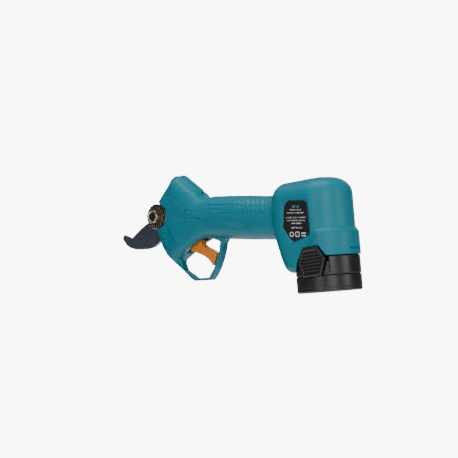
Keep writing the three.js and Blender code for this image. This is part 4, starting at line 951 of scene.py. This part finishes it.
M["label"] = label_mat()
M["ink"] = plastic("pale_ink", (226, 228, 226), 0.5, vary=0.04)
M["ink_teal"] = plastic("teal_ink", (60, 150, 160), 0.5, vary=0.05)
o = field_piece("rating_label_film", label_field, (-29, 3, -29.2, -27.6, 45, 90), 0.3, M["label"], 60000)
stands_for(o, "label_film", "rating_label")

rng = np.random.default_rng(7)
ink_v, ink_f, teal_v, teal_f = [], [], [], []
INK_Y0, INK_Y1 = -28.79, -28.72


def prism(points, vs, fs, y0=INK_Y0, y1=INK_Y1):
    n, b = len(points), len(vs)
    vs += [(x, y0, z) for x, z in points] + [(x, y1, z) for x, z in points]
    area = sum(p[0] * q[1] - q[0] * p[1] for p, q in zip(points, points[1:] + points[:1]))
    k = list(range(n))
    if area < 0:
        k.reverse()
    fs.append([b + i for i in k])
    fs.append([b + n + i for i in reversed(k)])
    for i in range(n):
        p, q = k[i], k[(i + 1) % n]
        fs.append([b + q, b + p, b + n + p, b + n + q])


def on_label(u, v):
    """Across (0 centre) and down from the top, along the label's own slightly sloping lines."""
    return (-12.2 + u, 84.2 - v - 0.09 * (u))


def text_line(v, width, high, words, vs, fs):
    x = -width / 2
    for w in words:
        w = w * width
        letters = max(2, int(w / (high * 0.62)))
        step_ = w / letters
        for i in range(letters):
            u0 = x + i * step_
            kind = rng.integers(0, 4)
            g = step_ * 0.22
            a, b = u0, u0 + step_ - g
            if kind == 0:
                prism([on_label(a, v), on_label(b, v), on_label(b, v + high * 0.22), on_label(a, v + high * 0.22)], vs, fs)
                prism([on_label((a + b) / 2 - g / 2, v + high * 0.22), on_label((a + b) / 2 + g / 2, v + high * 0.22), on_label((a + b) / 2 + g / 2, v + high), on_label((a + b) / 2 - g / 2, v + high)], vs, fs)
            elif kind == 1:
                prism([on_label(a, v), on_label(a + g, v), on_label(a + g, v + high), on_label(a, v + high)], vs, fs)
                prism([on_label(a + g, v + high * 0.4), on_label(b, v + high * 0.4), on_label(b, v + high * 0.65), on_label(a + g, v + high * 0.65)], vs, fs)
            elif kind == 2:
                prism([on_label(a, v + high * 0.1), on_label(b, v + high * 0.1), on_label(b, v + high * 0.9), on_label(a, v + high * 0.9)], vs, fs)
            else:
                prism([on_label(a, v), on_label(a + g, v), on_label(b, v + high), on_label(b - g, v + high)], vs, fs)
        x += w + width * 0.04


text_line(2.4, 9.0, 2.4, [0.5, 0.44], teal_v, teal_f)
text_line(6.0, 13.0, 1.5, [0.45, 0.5], ink_v, ink_f)
text_line(8.9, 19.5, 1.15, [0.3, 0.18, 0.42], ink_v, ink_f)
text_line(13.2, 22.0, 1.3, [0.28, 0.22, 0.4], ink_v, ink_f)
text_line(16.0, 20.5, 1.15, [0.2, 0.34, 0.36], ink_v, ink_f)
text_line(18.6, 11.5, 1.15, [0.45, 0.45], ink_v, ink_f)
text_line(22.6, 12.5, 1.3, [0.38, 0.2, 0.34], ink_v, ink_f)


def ring_part(cu, cv, r, w, a0, a1, n=18):
    """A drawn arc in separate small blocks."""
    for i in range(n):
        t0 = a0 + (a1 - a0) * i / n
        t1 = a0 + (a1 - a0) * (i + 1) / n
        p = [(r - w / 2, t0), (r + w / 2, t0), (r + w / 2, t1), (r - w / 2, t1)]
        prism([on_label(cu + q * math.cos(t), cv + q * math.sin(t)) for q, t in p], ink_v, ink_f)


def stroke(a, b, w):
    (u0, v0), (u1, v1) = a, b
    L = math.hypot(u1 - u0, v1 - v0)
    nx, ny = -(v1 - v0) / L * w / 2, (u1 - u0) / L * w / 2
    prism([on_label(u0 + nx, v0 + ny), on_label(u1 + nx, v1 + ny), on_label(u1 - nx, v1 - ny), on_label(u0 - nx, v0 - ny)], ink_v, ink_f)


# filler marks that stand for no real symbol: a ring, an open square and two bars
ring_part(-6.2, 29.3, 2.0, 0.8, 0, 2 * math.pi, 32)
for a, b in (((-1.9, 27.3), (1.9, 27.3)), ((1.9, 27.3), (1.9, 31.3)), ((1.9, 31.3), (-1.9, 31.3)), ((-1.9, 31.3), (-1.9, 27.3))):
    stroke(a, b, 0.8)
stroke((4.4, 28.2), (9.2, 28.2), 1.1)
stroke((4.4, 30.6), (9.2, 30.6), 1.1)
for nm, vs, fs, mat in (("label_print", ink_v, ink_f, M["ink"]), ("label_print_line", teal_v, teal_f, M["ink_teal"])):
    o = obj_from(nm, vs, fs, mat, smooth=False)
    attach(o, "tool")

def bezel_field(xs, ys, zs):
    X, Y, Z = xs[:, None, None], ys[None, :, None], zs[None, None, :]
    def rect(cx, hx, hy, rr):
        a, b = np.abs(X - cx) - hx + rr, np.abs(Y) - hy + rr
        return np.minimum(np.maximum(a, b), 0) + np.sqrt(np.maximum(a, 0) ** 2 + np.maximum(b, 0) ** 2) - rr
    tilt = 0.03 * np.maximum(0, -6 - X)
    d = smax(rect(-8, 13.6, 11, 1.2), np.maximum(104.75 - Z, Z - 106.45 + tilt), 0.5)
    d = smax(d, -rect(-11.8, 6.4, 7.6, 1.0), 0.3)
    R = np.sqrt((X + 0.6) ** 2 + Y ** 2)
    d = smax(d, -(R - 3.9 + 0 * Z), 0.3)
    return d.astype(F)


o = field_piece("display_frame", bezel_field, (-22.6, 6.6, -12, 12, 104, 107.4), 0.3, M["black"], 60000)
stands_for(o, "black_plastic", "display_bezel")

# ------------------------------------------------------------------ CAD nodes kept, with their own finish
KEPT = {
    "display_lens": ("lens", 0.2), "power_button": ("orange", 0.3),
    "display_board": ("board", 0), "gear_case": ("case", 0.25),
    "fixed_blade_screw_1": ("steel", 0.15), "fixed_blade_screw_2": ("steel", 0.15),
    "blade_gear": ("zinc", 0.12), "gear_pin_1": ("steel", 0.12), "gear_pin_2": ("steel", 0.12),
    "pivot_bush": ("bronze", 0.15), "output_shaft": ("zinc", 0.12), "front_bearing": ("steel", 0.2),
    "planet_carrier": ("steel", 0.12), "planet_gear_1": ("zinc", 0.06), "planet_gear_2": ("zinc", 0.06),
    "planet_gear_3": ("zinc", 0.06), "sun_gear": ("zinc", 0.06), "ring_gear": ("zinc", 0.06),
    "motor_front_plate": ("zinc", 0.2), "motor_can": ("can", 0.25), "motor_magnet": ("magnet", 0.15),
    "motor_rotor": ("copper", 0.12), "motor_shaft": ("steel", 0.12), "motor_end_bell": ("white", 0.25),
    "trigger_magnet": ("magnet", 0.15), "trigger_pin": ("steel", 0.15), "trigger_spring": ("steel", 0),
    "trigger_board": ("board", 0), "controller_board": ("board", 0), "heatsink": ("alu", 0.12),
    "capacitor": ("sleeve", 0.25), "terminal_block": ("white", 0.2), "motor_lead_1": ("red", 0),
    "motor_lead_2": ("wire", 0), "sensor_cable": ("wire", 0), "housing_screw_1": ("zinc", 0.15),
    "housing_screw_2": ("zinc", 0.15), "housing_screw_3": ("zinc", 0.15), "housing_screw_4": ("zinc", 0.15),
    "housing_screw_5": ("zinc", 0.15), "cell_1": ("cell", 0.3), "cell_2": ("cell", 0.3), "cell_3": ("cell", 0.3),
    "cell_4": ("cell", 0.3), "pack_board": ("board", 0), "pack_terminals": ("contact", 0.12),
}
for name, (key, bev) in KEPT.items():
    o = N[name]
    o.data.materials.clear()
    o.data.materials.append(M[key])
    for p in o.data.polygons:
        p.material_index = 0
    w = o.modifiers.new("weld", "WELD")
    w.merge_threshold = 0.000002
    if bev:
        b = o.modifiers.new("bevel", "BEVEL")
        b.width = bev * MM
        b.segments = 2
        b.limit_method = "ANGLE"
        b.angle_limit = math.radians(34)
        b.use_clamp_overlap = True
        b.harden_normals = False

# ------------------------------------------------------------------ floor, light, camera
def simple(name, rgb, rough):
    m = bpy.data.materials.new(name)
    nt, bs = nodes_of(m)
    n = noise(nt, 3, 3)
    c = lin(rgb)
    r = ramp(nt, n.outputs[0], [(0.3, tuple(v * 0.985 for v in c[:3]) + (1,)), (0.7, c)])
    nt.links.new(r.outputs[0], bs.inputs["Base Color"])
    bs.inputs["Roughness"].default_value = rough
    bs.inputs["Specular IOR Level"].default_value = 0.2
    return m


FLOOR_Z = -300.0
o = obj_from("floor", [(-110 + 760 * math.cos(i * math.pi / 36), 760 * math.sin(i * math.pi / 36), FLOOR_Z) for i in range(72)], [list(range(72))], simple("pale_floor", (246, 246, 246), 0.8), smooth=False)
o.visible_diffuse = False
fb = o.data.materials[0].node_tree.nodes
for n in fb:
    if n.type == "BSDF_PRINCIPLED":
        n.inputs["Emission Color"].default_value = (1, 1, 1, 1)
        n.inputs["Emission Strength"].default_value = 1.6

world = bpy.data.worlds.new("studio")
bpy.context.scene.world = world
world.use_nodes = True
wn = world.node_tree
wn.nodes.clear()
wo = wn.nodes.new("ShaderNodeOutputWorld")
wb = wn.nodes.new("ShaderNodeBackground")
wb.inputs[0].default_value = (1, 1, 1, 1)
wb.inputs[1].default_value = 0.17
wn.links.new(wb.outputs[0], wo.inputs[0])

# white studio surround, the same from every side; it is a backdrop and lights nothing
bm = bmesh.new()
bmesh.ops.create_icosphere(bm, subdivisions=4, radius=5.0)
bmesh.ops.reverse_faces(bm, faces=bm.faces[:])
me = bpy.data.meshes.new("surround")
bm.to_mesh(me)
bm.free()
surround = bpy.data.objects.new("surround", me)
bpy.context.scene.collection.objects.link(surround)
sm = bpy.data.materials.new("white_surround")
sm.use_nodes = True
sn = sm.node_tree
sn.nodes.clear()
so = sn.nodes.new("ShaderNodeOutputMaterial")
se = sn.nodes.new("ShaderNodeEmission")
se.inputs[1].default_value = 9.0
sn.links.new(se.outputs[0], so.inputs[0])
me.materials.append(sm)
surround.visible_diffuse = False
surround.visible_glossy = False
surround.visible_transmission = False
surround.visible_shadow = False


def area(name, loc, target, size, power):
    L = bpy.data.lights.new(name, "AREA")
    L.shape = "RECTANGLE"
    L.size, L.size_y = size
    L.energy = power
    o = bpy.data.objects.new(name, L)
    bpy.context.scene.collection.objects.link(o)
    o.location = loc
    o.rotation_euler = (Vector(target) - Vector(loc)).to_track_quat("-Z", "Y").to_euler()
    return o


area("top", (-0.05, -0.2, 1.2), (-0.1, 0, 0.07), (1.0, 0.7), 9)
area("strip_left", (-0.05, -1.15, 0.3), (-0.03, 0, 0.06), (0.2, 0.9), 3.6)
area("strip_right", (0.8, -0.85, 0.25), (0.0, 0, 0.05), (0.55, 0.8), 6.0)
area("side", (1.25, 0.1, 0.2), (0.0, 0, 0.05), (0.5, 0.8), 4.5)
area("back", (-0.5, 1.15, 0.35), (-0.1, 0, 0.06), (0.9, 0.8), 4.5)
area("low_fill", (-0.6, -0.8, -0.15), (-0.1, 0, 0.06), (0.6, 0.4), 0.2)

AZ, EL, ROLL = math.radians(37), math.radians(-3.5), math.radians(4.5)
b = Vector((math.sin(AZ) * math.cos(EL), -math.cos(AZ) * math.cos(EL), math.sin(EL)))
r = Vector((math.cos(AZ), math.sin(AZ), 0))
u = b.cross(r)
rp = r * math.cos(ROLL) - u * math.sin(ROLL)
up = r * math.sin(ROLL) + u * math.cos(ROLL)
cam = bpy.data.cameras.new("camera")
cam.sensor_width = 36
cam.sensor_fit = "HORIZONTAL"
cam.lens = 36 * 1000 / 458
cam.clip_start = 0.01
cam.clip_end = 60
co = bpy.data.objects.new("camera", cam)
bpy.context.scene.collection.objects.link(co)
co.matrix_world = Matrix((
    (rp.x, up.x, b.x, 0.488994),
    (rp.y, up.y, b.y, -0.797146),
    (rp.z, up.z, b.z, 0.008705),
    (0, 0, 0, 1),
))
bpy.context.scene.camera = co
